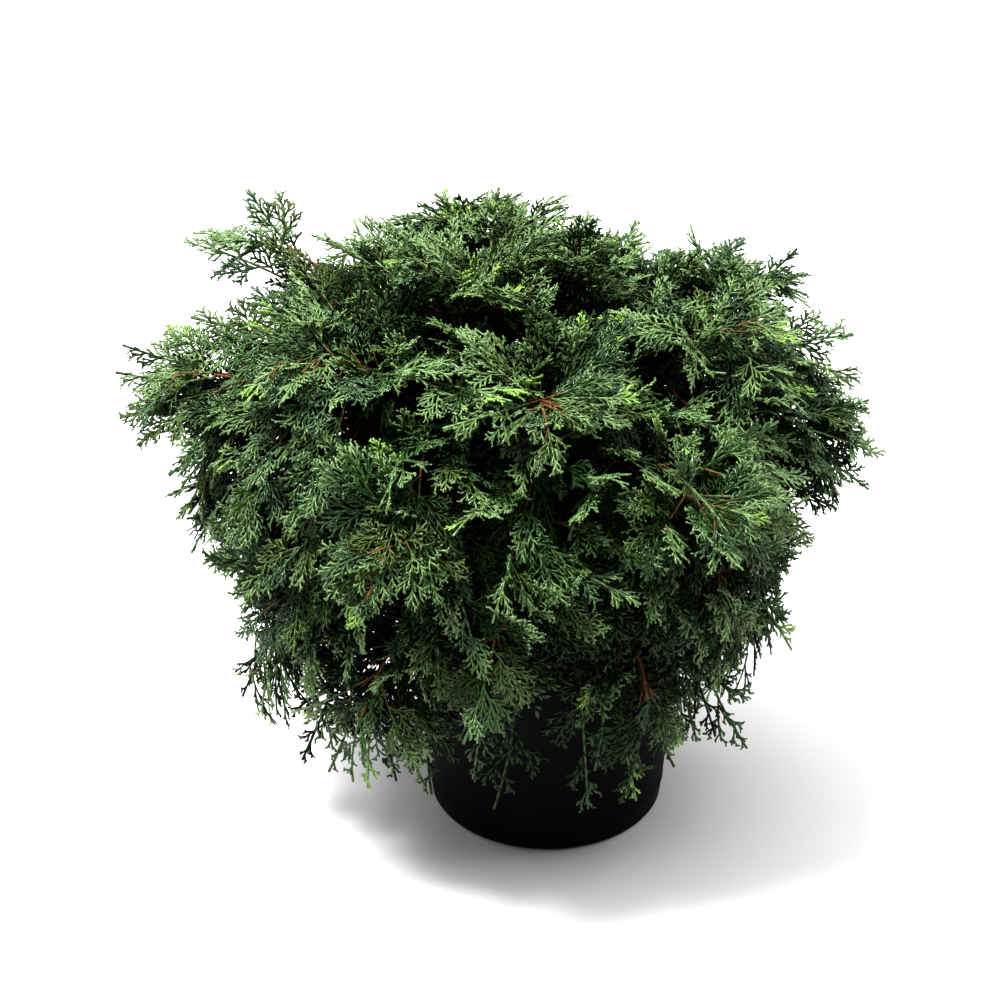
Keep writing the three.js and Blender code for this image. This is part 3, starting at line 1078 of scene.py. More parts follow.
    def cover(self) -> Iterator[Branchlet]:
        """Gives the even cover, each spray the longest that fits.

        Yields:
            The sprays on their twigs.
        """
        draw = SeededRow(self.seed)
        for point in self.surface():
            out = self.habit.out_of_crown(point)
            bearing = degrees(atan2(point[1], point[0] - self.habit.shift[0]))
            away = compass(bearing + draw.around(self.swing))
            rise = radians(np.interp(point[2], *np.array(self.rises).T) + draw.around(self.rise_jitter))
            direction = away * cos(rise) + UP * sin(rise)
            upper = UP * cos(rise) - away * sin(rise)
            tilt = draw.around(float(np.interp(point[2], *np.array(self.tilts).T)))
            face = square_to(upper + np.cross(upper, direction) * tilt, direction)
            beyond = float(np.linalg.norm(point - self.finder.stems.reshape(-1, 3), axis=1).min())
            valley = min(max(0.5 * (beyond - self.valley), 0), self.valley)
            tip = point - out * (self.cover_depth * draw() + valley)
            full = mix(*self.lengths, draw())
            seed, droop = draw.seed(), mix(*self.droops, draw())
            for size in self.rule.sizes[:-1]:
                made = self.branchlet(tip, direction, face, full * size, seed, droop)
                if made and self.finder.fits(made.spray, None):
                    yield made
                    break

    def outline(self) -> Iterator[Branchlet]:
        """Gives the tufts that stand out of the crown.

        Yields:
            The tufts on their twigs.
        """
        for number, (*spot, rise, length, swing) in enumerate(self.tufts):
            tip, rise = np.array(spot, float), radians(rise)
            bearing = degrees(atan2(tip[1], tip[0] - self.habit.shift[0])) + swing
            direction = compass(bearing) * cos(rise) + UP * sin(rise)
            face = square_to(np.array(self.look, float), direction)
            made = self.branchlet(tip, direction, face, length, self.seed + number, self.droops[0])
            if made:
                yield made


class Shape(Enum):
    """What a leaf is modelled as: a blunt cord, a short finger with a blunt tip, or a plain spindle."""

    CORD = 0
    FINGER = 1
    SPINDLE = 2


@dataclass(frozen=True)
class Growth:
    """How the axes of one order branch. Lengths in millimetres, angles in degrees.

    Branches leave at the first angle near the axis's foot and at the second near its tip, as long
    as least, and a share of their axis on top that fades towards its tip.
    """

    gap: float
    angle: Pair
    bend: float
    least: float
    share: float
    longest: float
    width: float
    step: float


AXIS, FAN, SIDE_AXIS, STRAND, FINGER = range(5)


@dataclass(frozen=True)
class FrondHabit:
    """How a frond divides: its axis into fans, fans into side axes, strands and forked fingers.

    Pairs are the least and the most of a chance. Slopes are heights for each millimetre along.
    """

    orders: tuple[Growth, ...]
    shape: Shape
    thickness: float
    strand: float
    forks: tuple[float, ...] = ()
    fork_angle: float = 25
    fork_jitter: float = 6
    fork_length: float = 2.5
    fork_lengths: Pair = (0.8, 1.15)
    fork_width: float = 1.35
    fork_slope: float = 0.3
    unforked: float = 0.14
    overlap: Pair = (0.25, 1.06)
    widths: Pair = (0.9, 1.1)
    lengths: Pair = (0.78, 1.08)
    first_gaps: Pair = (0.7, 1.1)
    gaps: Pair = (0.85, 1.15)
    bends: Pair = (0.5, 1.3)
    angle_jitter: float = 4
    fade: float = 0.7
    tip_share: float = 0.3
    last: float = 0.96
    shorten: float = 0.88
    aim: float = 0.8
    shortest: float = 2.4
    slack: float = 3
    tip_strands: float = 12
    tip_axes: float = 30
    first: float = 0.7
    twist: float = 0.6
    lift: float = 0.36
    hang: float = 0.006
    climb: float = 0.24
    climb_kept: float = 0.5
    curl: float = 0.3
    axis_heading: float = 0.05
    axis_bend: float = 0.3
    axis_share: float = 0.97


def strand_growth(width: float) -> Growth:
    """Gives the growth of a strand, which bears no branches and is one leaf long."""
    return Growth(99, (30, 30), 0, 0, 0, 0, width, 99)


FINE = FrondHabit(
    orders=(
        Growth(11, (47, 30), 0.5, 6, 0.5, 44, 1.8, 8),
        Growth(4.6, (39, 28), 0.36, 5, 0.44, 18, 1.6, 6.5),
        Growth(2.25, (34, 26), 0.15, 4.4, 0.22, 8, 1.45, 7.5),
        strand_growth(1.45),
    ),
    shape=Shape.CORD,
    thickness=1.05,
    strand=6.8,
    forks=(0.5, 0.78),
)
LOOSE = replace(
    FINE,
    orders=(
        Growth(17, (42, 26), 0.5, 6, 0.46, 40, 1.7, 8),
        Growth(7.4, (38, 28), 0.4, 5, 0.44, 18, 1.5, 6.5),
        Growth(3.4, (34, 26), 0.15, 4.4, 0.24, 9, 1.4, 7.5),
        strand_growth(1.4),
    ),
)
COARSE = FrondHabit(
    orders=(
        Growth(12, (47, 30), 0.5, 8, 0.5, 44, 2.5, 9),
        Growth(6, (41, 30), 0.3, 6, 0.42, 19, 2.7, 8),
        Growth(3.8, (36, 30), 0.15, 5, 0.22, 9, 2.7, 8),
        strand_growth(2.8),
    ),
    shape=Shape.SPINDLE,
    thickness=1.2,
    strand=9.5,
)


@dataclass
class Leaves:
    """Leaves, one row for each, with the fan that they are on and how many times it has divided."""

    start: Array
    end: Array
    width: Array
    fan: Array
    order: Array


def ahead(spot: tuple, heading: float, slope: float, far: float) -> Triple:
    """Gives the place some way on from a spot of a frond."""
    x, y, z = spot
    return x + far * cos(heading), y + far * sin(heading), z + far * slope


class Frond:
    """Grows one frond within a spray's outline, by a seeded branching rule."""

    def __init__(self, spray: Spray, habit: FrondHabit) -> None:
        """Keeps the outline and starts with no leaves.

        Args:
            spray: The spray's place and outline.
            habit: How the frond divides.
        """
        self.spray = spray
        self.habit = habit
        self.random = random.Random(spray.seed)
        self.rows: list[tuple] = []
        self.planes: list[tuple] = [(0, 0, 0, 0, 0)]
        self.fan = 0
        self.angles = [-180, *spray.angles, 180]
        self.reaches = [spray.hub, *spray.reaches, spray.hub]

    def reach(self, angle: float) -> float:
        """Gives how far the outline lies from the hub at an angle."""
        return float(np.interp(angle, self.angles, self.reaches))

    def jitter(self, spread: float) -> float:
        """Gives a number from -spread to spread."""
        return self.random.uniform(-spread, spread)

    def fitting(self, x: float, y: float, heading: float, full: float, slack: float) -> float:
        """Shortens an axis until its tip is within the outline and some slack.

        Args:
            x: Where it starts along the frond.
            y: Where it starts across the frond.
            heading: Its direction in radians.
            full: Its length before that.
            slack: How far it may pass the outline.

        Returns:
            Its length, or 0 if it has no room.
        """
        length = full
        while length > self.habit.shortest:
            dx = x + length * cos(heading) - self.spray.hub
            dy = y + length * sin(heading)
            if hypot(dx, dy) <= self.reach(degrees(atan2(dy, dx))) + slack:
                return length
            length *= self.habit.shorten
        return 0

    def leaf(self, spot: tuple, heading: float, slope: float, length: float, width: float,
             order: int) -> None:
        """Adds one leaf, which starts a little inside the one that bears it.

        Args:
            spot: Where it starts.
            heading: Its direction in radians.
            slope: How steeply it climbs.
            length: Its length.
            width: Its usual width.
            order: Its order.
        """
        inside, beyond = self.habit.overlap
        start = ahead(spot, heading, slope, -inside * width)
        end = ahead(spot, heading, slope, beyond * length)
        wide = width * self.random.uniform(*self.habit.widths)
        self.rows.append((*start, *end, wide, self.fan, order))

    def axis(self, spot: tuple, heading: float, slope: float, length: float, order: int,
             bend: float) -> None:
        """Grows one axis as a row of leaves, which branches as a finer one where little is left.

        Args:
            spot: Where it starts.
            heading: Its first direction, in radians.
            slope: How steeply it climbs.
            length: Its length.
            order: Its order.
            bend: How far its direction turns, in radians.
        """
        habit = self.habit
        if length < habit.strand:
            order = max(order, STRAND)
        growth = habit.orders[order]
        steps = max(1, int(length / growth.step + 0.5))
        step = length / steps
        due = growth.gap * self.random.uniform(*habit.first_gaps) * habit.first
        hand = self.random.choice((-1, 1))
        curl = self.jitter(habit.curl) if order else 0
        for k in range(steps):
            turn = heading + bend * (k + 0.5) / steps
            climb = slope + curl * (k + 0.5) / steps
            while due <= (k + 1) * step and due < habit.last * length:
                left = length - due
                least = SIDE_AXIS if left < habit.tip_strands else FAN if left < habit.tip_axes else AXIS
                near = max(order, least)
                share, span = (due / length, length) if near == order else (habit.tip_share, left)
                foot = ahead(spot, turn, climb, due - k * step)
                self.branch(foot, turn, climb, hand, share, span, near)
                hand = -hand
                due += habit.orders[near].gap * self.random.uniform(*habit.gaps)
            self.leaf(spot, turn, climb, step, growth.width, order)
            if order == STRAND and k == steps - 1:
                self.fork(spot, turn, climb, step, hand)
            spot = ahead(spot, turn, climb, step)

    def fork(self, spot: tuple, heading: float, slope: float, length: float, hand: int) -> None:
        """Adds the short fingers at a strand's tip.

        Args:
            spot: Where the strand's last leaf starts.
            heading: Its direction in radians.
            slope: How steeply it climbs.
            length: Its length.
            hand: The side of the first finger, 1 or -1.
        """
        habit = self.habit
        for share in habit.forks:
            if self.random.random() < habit.unforked:
                continue
            turn = heading + hand * radians(habit.fork_angle + self.jitter(habit.fork_jitter))
            far = habit.fork_length * self.random.uniform(*habit.fork_lengths)
            foot = ahead(spot, heading, slope, share * length)
            self.leaf(foot, turn, slope + self.jitter(habit.fork_slope), far, habit.fork_width, FINGER)
            hand = -hand

    def branch(self, spot: tuple, turn: float, slope: float, hand: int, share: float, length: float,
               order: int) -> None:
        """Grows one axis of the next order from an axis of this one.

        Args:
            spot: Where it leaves this one.
            turn: This one's direction there, in radians.
            slope: How steeply this one climbs.
            hand: The side that it grows on, 1 or -1.
            share: How far along this one that is.
            length: This one's length.
            order: This one's order.
        """
        habit, growth = self.habit, self.habit.orders[order]
        fade = (1 - share) ** habit.fade * min(1, 4 * share + 0.4) if order else 1
        full = min(growth.least + growth.share * length * fade, growth.longest)
        full *= self.random.uniform(*habit.lengths)
        angle = hand * radians(mix(*growth.angle, share) + self.jitter(habit.angle_jitter))
        slack = habit.slack if order > FAN else 0
        room = self.fitting(*spot[:2], turn + habit.aim * angle, full, slack)
        if not room:
            return
        if order == AXIS:
            self.fan = len(self.planes)
            twist, lift = self.jitter(habit.twist), self.jitter(habit.lift)
            self.planes.append((*spot[:2], turn + angle, twist, lift))
        bend = -angle * growth.bend * self.random.uniform(*habit.bends)
        climb = habit.climb_kept * slope + self.jitter(habit.climb if order else 0)
        self.axis(spot, turn + angle, climb, room, order + 1, bend)
        if order == AXIS:
            self.fan = 0

    def raised(self, points: Array, fans: Array) -> Array:
        """Gives each fan a plane of its own, and lets it hang a little.

        Args:
            points: Rows of places along, across and above the frond.
            fans: The fan that each is on.

        Returns:
            The raised rows.
        """
        x, y, heading, twist, lift = np.array(self.planes)[fans].T
        dx, dy = points[:, 0] - x, points[:, 1] - y
        along = dx * np.cos(heading) + dy * np.sin(heading)
        aside = dy * np.cos(heading) - dx * np.sin(heading)
        hang = np.where(fans > 0, self.habit.hang * along**2, 0)
        height = points[:, 2] + lift * along + twist * aside - hang
        return np.stack([points[:, 0], points[:, 1], height], axis=1)

    def grow(self) -> Leaves:
        """Grows the whole frond.

        Returns:
            Its leaves, along, across and above the frond.
        """
        habit, tip = self.habit, self.spray.hub + self.reach(0)
        heading, bend = self.jitter(habit.axis_heading), self.jitter(habit.axis_bend)
        self.axis((0, 0, 0), heading, 0, tip * habit.axis_share, AXIS, bend)
        rows = np.array(self.rows)
        fans = rows[:, 7].astype(int)
        start, end = self.raised(rows[:, 0:3], fans), self.raised(rows[:, 3:6], fans)
        return Leaves(start, end, rows[:, 6], fans, rows[:, 8].astype(int))


SHAPE_FACES = {
    Shape.CORD: [(0, 1, 2), (0, 3, 1), (1, 3, 4), (1, 4, 2), (2, 4, 5), (2, 5, 0), (0, 5, 3), (3, 5, 4)],
    Shape.FINGER: [(0, 1, 2), (0, 2, 3), (0, 3, 1), (1, 3, 2)],
    Shape.SPINDLE: [(0, 1, 2), (0, 3, 1), (0, 2, 3), (1, 3, 2)],
}


@dataclass
class LeafRows:
    """Leaves in their places on the plant, one row for each, in millimetres.

    A leaf's left and above are half its width and half its thickness. Its tip is 1 for a light tip, which
    is partly paler growth and partly painted light, 2 for a fresh one and 0 for neither.
    """

    start: Array
    end: Array
    left: Array
    above: Array
    shape: Array
    fan: Array
    base: Array
    tip: Array

    def pick(self, chosen: Array) -> LeafRows:
        """Gives some of the rows."""
        return LeafRows(*(getattr(self, name)[chosen] for name in self.__dataclass_fields__))

    @staticmethod
    def joined(parts: list[LeafRows]) -> LeafRows:
        """Joins several sets of rows."""
        names = LeafRows.__dataclass_fields__
        return LeafRows(*(np.concatenate([getattr(part, name) for part in parts]) for name in names))

    def corners(self, shape: Shape) -> Array:
        """Gives the corners of leaves that all have one shape.

        Args:
            shape: The shape.

        Returns:
            One row of corners for each leaf.
        """
        start, end, left, above = self.start, self.end, self.left, self.above
        if shape is Shape.CORD:
            low, near, far = -0.6 * above, 0.85 * left, left
            ring = [start + above, start + low + near, start + low - near]
            return np.stack([*ring, end + 0.9 * above, end + low + far, end + low - far], axis=1)
        if shape is Shape.FINGER:
            low = end - 0.6 * above
            return np.stack([start, end + above, low + left, low - left], axis=1)
        middle = start + 0.7 * (end - start) - above
        return np.stack([start + above, end + 0.4 * above, middle + left, middle - left], axis=1)

    def mesh(self) -> tuple[Array, Array]:
        """Models all the leaves.

        Returns:
            Their corners and triangles.
        """
        corners, faces, count = [], [], 0
        for shape in Shape:
            rows = self.pick(self.shape == shape.value)
            if not len(rows.start):
                continue
            block = rows.corners(shape)
            first = count + np.arange(len(block))[:, None, None] * block.shape[1]
            faces.append((first + np.array(SHAPE_FACES[shape])).reshape(-1, 3))
            corners.append(block.reshape(-1, 3))
            count += corners[-1].shape[0]
        return np.concatenate(corners), np.concatenate(faces)


@dataclass
class Openness:
    """Tells how open to the air a place in the crown is, from how much leaf lies outside it; it decides
    where shade is painted into the leaves' tones.
    """

    habit: Habit
    cell: float = 7
    steps: int = 12
    first_step: float = 0.4
    density: float = 0.5
    breadth: float = 1.6

    def measure(self, rows: LeafRows) -> Array:
        """Tells how open each leaf's fan is, from 0, deep inside, to 1, in the open.

        Args:
            rows: All the leaves.

        Returns:
            One number for each leaf, the mean of its fan.
        """
        middle = (rows.start + rows.end) / 2
        area = np.linalg.norm(rows.end - rows.start, axis=1) * np.linalg.norm(rows.left, axis=1)
        area = area * self.breadth
        low = middle.min(0) - 2 * self.cell
        size = tuple(((middle.max(0) - low) / self.cell).astype(int) + 3)
        spots = ((middle - low) / self.cell).astype(int)
        flat = np.ravel_multi_index(spots.T, size)
        leafage = np.bincount(flat, area, int(np.prod(size))) * self.density / self.cell**2
        out = (middle - self.habit.dome_centre) / self.habit.dome_radii**2
        out[:, 2] = np.maximum(out[:, 2], 0)
        out = unit(out)
        total = np.zeros(len(middle))
        for way in (out, unit(out + UP)):
            depth = np.zeros(len(middle))
            for k in range(1, self.steps + 1):
                spot = ((middle + way * self.cell * (k + self.first_step) - low) / self.cell).astype(int)
                inside = ((spot >= 0) & (spot < size)).all(1)
                index = np.ravel_multi_index(np.where(inside[:, None], spot, 0).T, size)
                depth += np.where(inside, leafage[index], 0)
            total += np.exp(-depth) / 2
        return (np.bincount(rows.fan, total) / np.maximum(np.bincount(rows.fan), 1))[rows.fan]


@dataclass
class LeafStore:
    """Collects leaves, deals their tones out by fan, and joins each tone into pieces.

    A fan is hidden, shaded or half shaded where it is less open to the air than these numbers, and shaded
    and half shaded fans take darker tones as painted shade.
    """

    habit: Habit
    piece_limit: int = 180_000
    hidden: float = 0.12
    shaded: float = 0.42
    half_shaded: float = 0.64
    widened: float = 1.3
    fans: int = 0
    parts: list[LeafRows] = field(default_factory=list)

    def add(self, rows: LeafRows) -> None:
        """Adds a frond's leaves, whose fans are numbered from 0."""
        self.parts.append(replace(rows, fan=rows.fan + self.fans))
        self.fans += int(rows.fan.max()) + 1 if len(rows.fan) else 0

    def plainer_inside(self, rows: LeafRows, fan_open: Array) -> tuple[LeafRows, Array]:
        """Makes leaves in the shade plainer, and half as many where they are hidden.

        Args:
            rows: All the leaves.
            fan_open: How open each leaf's fan is.

        Returns:
            The leaves that are left, and their openness.
        """
        inside, hidden = fan_open < self.shaded, fan_open < self.hidden
        rows.shape[inside & (rows.shape == Shape.CORD.value)] = Shape.SPINDLE.value
        rows.left[inside] *= self.widened
        rows.left[hidden] *= self.widened
        left_out = inside & (rows.shape == Shape.FINGER.value)
        left_out |= hidden & (np.arange(len(hidden)) % 2 == 0)
        return rows.pick(~left_out), fan_open[~left_out]

    def tones(self, rows: LeafRows, fan_open: Array) -> Array:
        """Deals the tones out: a fan's own where it is open to the air, and darker ones inside as painted
        shade.

        Args:
            rows: All the leaves.
            fan_open: How open each leaf's fan is.

        Returns:
            The number of each leaf's tone.
        """
        tones = rows.base.copy()
        # light tips take the pale tone, partly painted light
        tones[rows.tip == 1] = Tone.LIGHT.number
        tones[rows.tip == 2] = Tone.FRESH.number
        # fans little open to the air take darker tones: painted shade
        half = fan_open < self.half_shaded
        tones[half] = np.minimum(tones[half], Tone.DEEP.number)
        tones[fan_open < self.shaded] = Tone.SHADE.number
        return tones

    def build(self, nodes: list[str]) -> int:
        """Makes the pieces.

        Args:
            nodes: The foliage nodes that they replace.

        Returns:
            The number of triangles in all.
        """
        rows = LeafRows.joined(self.parts)
        rows, fan_open = self.plainer_inside(rows, Openness(self.habit).measure(rows))
        tones = self.tones(rows, fan_open)
        total = 0
        for number, tone in enumerate(Tone):
            chosen = rows.pick(tones == number)
            sizes = np.array([len(SHAPE_FACES[shape]) for shape in Shape])[chosen.shape]
            batch = sizes.cumsum() // self.piece_limit
            material = tone.value.material()
            for part in np.unique(batch):
                corners, faces = chosen.pick(batch == part).mesh()
                piece = piece_from_arrays(f"leaves_{tone.name.lower()}_{part + 1}", corners * MM, faces)
                piece.data.shade_smooth()
                finished(piece, material, nodes)
                total += len(faces)
        return total


@dataclass
class TwigStore:
    """Collects tapering tubes and joins them into one piece."""

    corners: list[Array] = field(default_factory=list)
    faces: list[Array] = field(default_factory=list)
    count: int = 0

    def add(self, path: Array, radii: Array, sides: int = 5) -> None:
        """Adds one closed tapering tube.

        Args:
            path: Rows of x, y, z along its middle, in millimetres.
            radii: Its radius at each row.
            sides: How many sides it has.
        """
        tangents = unit(np.gradient(path, axis=0))
        guide = UP if abs(tangents[0] @ UP) < 0.9 else np.array([1.0, 0, 0])
        side = unit(np.cross(tangents, guide))
        normal = np.cross(side, tangents)
        turns = np.linspace(0, 2 * pi, sides, endpoint=False)
        rings = (
            path[:, None]
            + radii[:, None, None] * np.cos(turns)[None, :, None] * side[:, None]
            + radii[:, None, None] * np.sin(turns)[None, :, None] * normal[:, None]
        )
        corners = np.concatenate([rings.reshape(-1, 3), path[:1], path[-1:]])
        faces = []
        for k in range(len(path) - 1):
            for j in range(sides):
                a, b = k * sides + j, k * sides + (j + 1) % sides
                faces += [(a, a + sides, b), (b, a + sides, b + sides)]
        foot, tip, last = len(corners) - 2, len(corners) - 1, (len(path) - 1) * sides
        for j in range(sides):
            faces += [(foot, j, (j + 1) % sides), (tip, last + (j + 1) % sides, last + j)]
        self.corners.append(corners)
        self.faces.append(np.array(faces) + self.count)
        self.count += len(corners)

    def build(self, nodes: list[str]) -> None:
        """Makes the piece.

        Args:
            nodes: The foliage nodes that it replaces.
        """
        corners = np.concatenate(self.corners) * MM
        piece = piece_from_arrays("twigs", corners, np.concatenate(self.faces))
        piece.data.shade_smooth()
        finished(piece, TWIG_BARK.material(), nodes)


@dataclass
class Foliage:
    """All the masses of foliage: stems, fronds and leaves.

    Tone weights deal the six darker tones out to sprays below a height, the darkest low down as painted
    shade and the palest high up as painted light, and bright shares give how many fans have light tips at
    some heights, more of them high up as painted light. Pairs are the least and the most of a chance.
    """

    habit: Habit
    limbs: list[Limb]
    rule: SprayRule = field(default_factory=SprayRule)
    main_wave: Wave = Wave(11, 90, leads=True, own_space=True)
    waves: tuple[Wave, ...] = (
        Wave(6, 66, seed=311, offset=0.3, end=0.92, swing=(14, 46), outward=95, narrow=0.72, droop=0.17),
        Wave(4, 70, seed=727, offset=0.4, end=0.95, swing=(30, 60), outward=120, narrow=0.62, droop=0.12,
             hang=0.9, sides=0, tiers=("lower",)),
        Wave(10, 42, seed=431, offset=0.5, end=1, swing=(24, 62), outward=100, narrow=0.8, droop=0.1,
             sides=0, tiers=("middle", "shoulder", "top")),
        Wave(10, 60, seed=523, offset=0.2, end=0.6, foot=0.3, fine=False, sides=0),
        Wave(7, 66, seed=611, offset=0.1, end=0.5, foot=0.1, fine=False, swing=(50, 80), sides=0),
        Wave(9, 70, seed=911, offset=0.1, end=0.7, foot=0.5, fine=False, swing=(50, 80), hang=0.8,
             sides=0, tiers=("skirt", "lower", "middle")),
    )
    side_shares: tuple[float, ...] = (0.34, 0.5)
    side_sizes: tuple[float, ...] = (0.62, 0.5)
    side_swings: Pair = (20, 44)
    side_lifts: Pair = (12, 36)
    side_lengths: Pair = (0.85, 1.1)
    side_lean: float = 0.5
    side_narrow: float = 0.75
    lesser_droop: float = 0.17
    twig_swings: Pair = (25, 50)
    twig_lean: float = 0.4
    twig_size: float = 0.75
    twig_narrow: float = 0.8
    stem_overlap: Pair = (0.01, 0.02)
    stem_steps: int = 12
    stem_sides: int = 8
    branchlet_sides: int = 4
    bare_steps: int = 2
    twig_radii: Pair = (0.7, 0.45)
    branchlet_radii: Pair = (0.8, 0.5)
    long_twig: float = 36
    roll: float = 0.16
    light_from: Pair = (0.62, 0.8)
    fresh_share: float = 0.12
    fresh_light: Pair = (0.55, 0.8)
    fresh_from: Pair = (0.7, 0.95)
    own_weights: tuple = (6, 1, 1, 1, 1, 1)
    # darker tones low in the crown and paler ones high up: painted shade and painted light
    tone_weights: tuple = (
        (112, (8, 8, 3, 1, 0, 0)), (285, (0, 2, 5, 4, 3, 0)), (350, (0, 1, 3, 4, 4, 5)),
        (999, (0, 0, 2, 3, 4, 8)),
    )
    # more light tips high up: painted light
    bright_shares: tuple = ((104, 0.15), (150, 0.55))
    side_height: float = 165
    loose_height: float = 190
    loose_tip: float = 104

    def build(self) -> None:
        """Grows everything and joins it into pieces."""
        nodes = [f"foliage_{limb.place}" for limb in self.limbs]
        leaves, twigs = LeafStore(self.habit), TwigStore()
        before, after = self.stem_overlap
        for limb in self.limbs:
            start, end = limb.tier.bough - before, self.habit.stem_end + after
            path = limb.trail.line(start, end, self.stem_steps)
            radii = np.linspace(self.habit.bough_tip_radius, self.habit.stem_tip_radius, len(path))
            twigs.add(path, radii, self.stem_sides)
        finder = SprayFinder(self.habit, self.rule, self.limbs)
        for wave in (self.main_wave, *self.waves):
            for spray in finder.sprays(wave):
                self.dress(spray, FINE if wave.fine else COARSE, leaves, twigs)
                sides = wave.sides if spray.root[2] > self.side_height else 0
                for lesser in self.side_sprays(spray, sides):
                    if finder.fits(lesser, None):
                        self.dress(lesser, FINE, leaves, twigs)
        mantle = Mantle(self.habit, self.rule, finder)
        for branchlet in [*mantle.cover(), *mantle.outline()]:
            radii = np.linspace(*self.branchlet_radii, len(branchlet.path))
            twigs.add(branchlet.path, radii, self.branchlet_sides)
            self.dress(branchlet.spray, FINE, leaves, twigs)
            lesser = self.twig_spray(branchlet)
            if lesser and finder.fits(lesser, None):
                self.dress(lesser, FINE, leaves, twigs)
        twigs.build(nodes)
        LOG.info("%d leaf triangles on %d fronds", leaves.build(nodes), len(leaves.parts))

    def side_sprays(self, parent: Spray, count: int) -> Iterator[Spray]:
        """Gives the lesser sprays on a spray's axis, each in a plane of its own.

        Args:
            parent: The spray.
            count: How many there are.

        Yields:
            The lesser sprays.
        """
        chooser = random.Random(parent.seed + 7)
        hand = chooser.choice((-1, 1))
        for share, size in list(zip(self.side_shares, self.side_sizes))[:count]:
            along = np.array([share * parent.length])
            root = on_spray(parent, along, along * 0, along * 0)[0]
            swing = radians(hand * chooser.uniform(*self.side_swings))
            lift = radians(chooser.choice((-1, 1)) * chooser.uniform(*self.side_lifts))
            flat = parent.direction * cos(swing) + parent.across * sin(swing)
            direction = flat * cos(lift) + parent.face * sin(lift)
            lean = chooser.uniform(-self.side_lean, self.side_lean)
            face = square_to(parent.face + parent.across * lean, direction)
            length = parent.length * size * chooser.uniform(*self.side_lengths)
            hand = -hand
            seed = chooser.randrange(1_000_000)
            yield self.rule.spray(root, direction, face, length, seed, False, self.side_narrow,
                                  self.lesser_droop)

    def twig_spray(self, branchlet: Branchlet) -> Spray | None:
        """Gives the lesser spray half way along a long branchlet.

        Args:
            branchlet: The branchlet.

        Returns:
            The lesser spray, or none on a short branchlet.
        """
        path, parent = branchlet.path, branchlet.spray
        size = float(np.linalg.norm(path[-1] - path[0]))
        if size < self.long_twig:
            return None
        chooser = random.Random(parent.seed + 9)
        middle = len(path) // 2
        tangent = unit(path[middle + 1] - path[middle])
        side = square_to(parent.across, tangent)
        swing = radians(chooser.choice((-1, 1)) * chooser.uniform(*self.twig_swings))
        direction = tangent * cos(swing) + side * sin(swing)
        lean = chooser.uniform(-self.twig_lean, self.twig_lean)
        face = square_to(parent.face + parent.across * lean, direction)
        length = min(parent.length * self.twig_size, size)
        return self.rule.spray(path[middle], direction, face, length, parent.seed + 11, False,
                               self.twig_narrow, self.lesser_droop)

    def dress(self, spray: Spray, habit: FrondHabit, leaves: LeafStore, twigs: TwigStore) -> None:
        """Grows one spray's frond, looser where it hangs low, and puts it in its place.

        Args:
            spray: The spray.
            habit: How its frond divides.
            leaves: Where its leaves are kept.
            twigs: Where the bare part of its axis is kept.
        """
        if habit is FINE and spray.root[2] < self.loose_height and spray.tip_height() < self.loose_tip:
            habit = LOOSE
        grown = Frond(spray, habit).grow()
        grown.start = on_spray(spray, *grown.start.T)
        grown.end = on_spray(spray, *grown.end.T)
        stalk = grown.start[grown.order == AXIS][: self.bare_steps + 1]
        if len(stalk) > 1:
            twigs.add(stalk, np.linspace(*self.twig_radii, len(stalk)))
        leaves.add(self.placed(spray, habit, grown).pick(self.rule.clear_of_pot(grown.end)))

    def placed(self, spray: Spray, habit: FrondHabit, grown: Leaves) -> LeafRows:
        """Gives a frond's leaves their widths, tilts, shapes and own tones.

        Args:
            spray: The spray.
            habit: How its frond divides.
            grown: Its leaves, in their places.

        Returns:
            The same leaves with all that a mesh needs.
        """
        chooser = np.random.default_rng(spray.seed)
        along = grown.end - grown.start
        roll = chooser.normal(0, self.roll, len(along))[:, None]
        side = unit(np.cross(spray.face, along))
        up = unit(np.cross(along, side))
        left = (side * np.cos(roll) + up * np.sin(roll)) * grown.width[:, None] / 2
        above = (up * np.cos(roll) - side * np.sin(roll)) * habit.thickness / 2
        shape = np.where(grown.order == FINGER, Shape.FINGER.value, habit.shape.value)
        base, tip = self.own_tones(spray, grown)
        # the coarse inner fronds always take the deep tone and no light tips: painted shade
        if habit is COARSE:
            base[:], tip[:] = Tone.DEEP.number, 0
        return LeafRows(grown.start, grown.end, left, above, shape, grown.fan, base, tip)

    def own_tones(self, spray: Spray, grown: Leaves) -> tuple[Array, Array]:
        """Gives each leaf its fan's tone, darker low down and paler high up as painted shade and painted
        light, and marks the light and the fresh tips.

        Args:
            spray: The spray.
            grown: Its leaves.

        Returns:
            The number of each leaf's tone, and its mark.
        """
        chooser = random.Random(spray.seed + 1)
        # tones by height: painted shade low down, painted light high up
        weights = next(weights for height, weights in self.tone_weights if spray.tip_height() < height)
        usual = list(Tone)[:-1]
        own = chooser.choices(usual, weights)[0]
        fans = int(grown.fan.max()) + 1
        dealt = chooser.choices([own, *usual[1:]], self.own_weights, k=fans)
        base = np.array([tone.number for tone in dealt])
        # light tips more often high up: painted light
        share = np.interp(spray.tip_height(), *np.array(self.bright_shares).T)
        bright = np.array([chooser.random() < share for _ in range(fans)])
        first = np.unique(grown.fan, return_index=True)[1]
        root = np.zeros((fans, 3))
        root[grown.fan[first]] = grown.start[first]
        out = np.linalg.norm(grown.end - root[grown.fan], axis=1)
        longest = np.zeros(fans)
        np.maximum.at(longest, grown.fan, out)
        out = out / longest[grown.fan]
        tip = np.zeros(len(grown.fan), int)
        small = grown.order >= STRAND
        tip[bright[grown.fan] & small & (out > np.where(grown.order == FINGER, *self.light_from))] = 1
        if chooser.random() < self.fresh_share:
            reach = (grown.end - spray.root) @ spray.direction / spray.length
            tip[reach > chooser.uniform(*self.fresh_light)] = 1
            tip[(reach > chooser.uniform(*self.fresh_from)) & small] = 2
        return base[grown.fan], tip


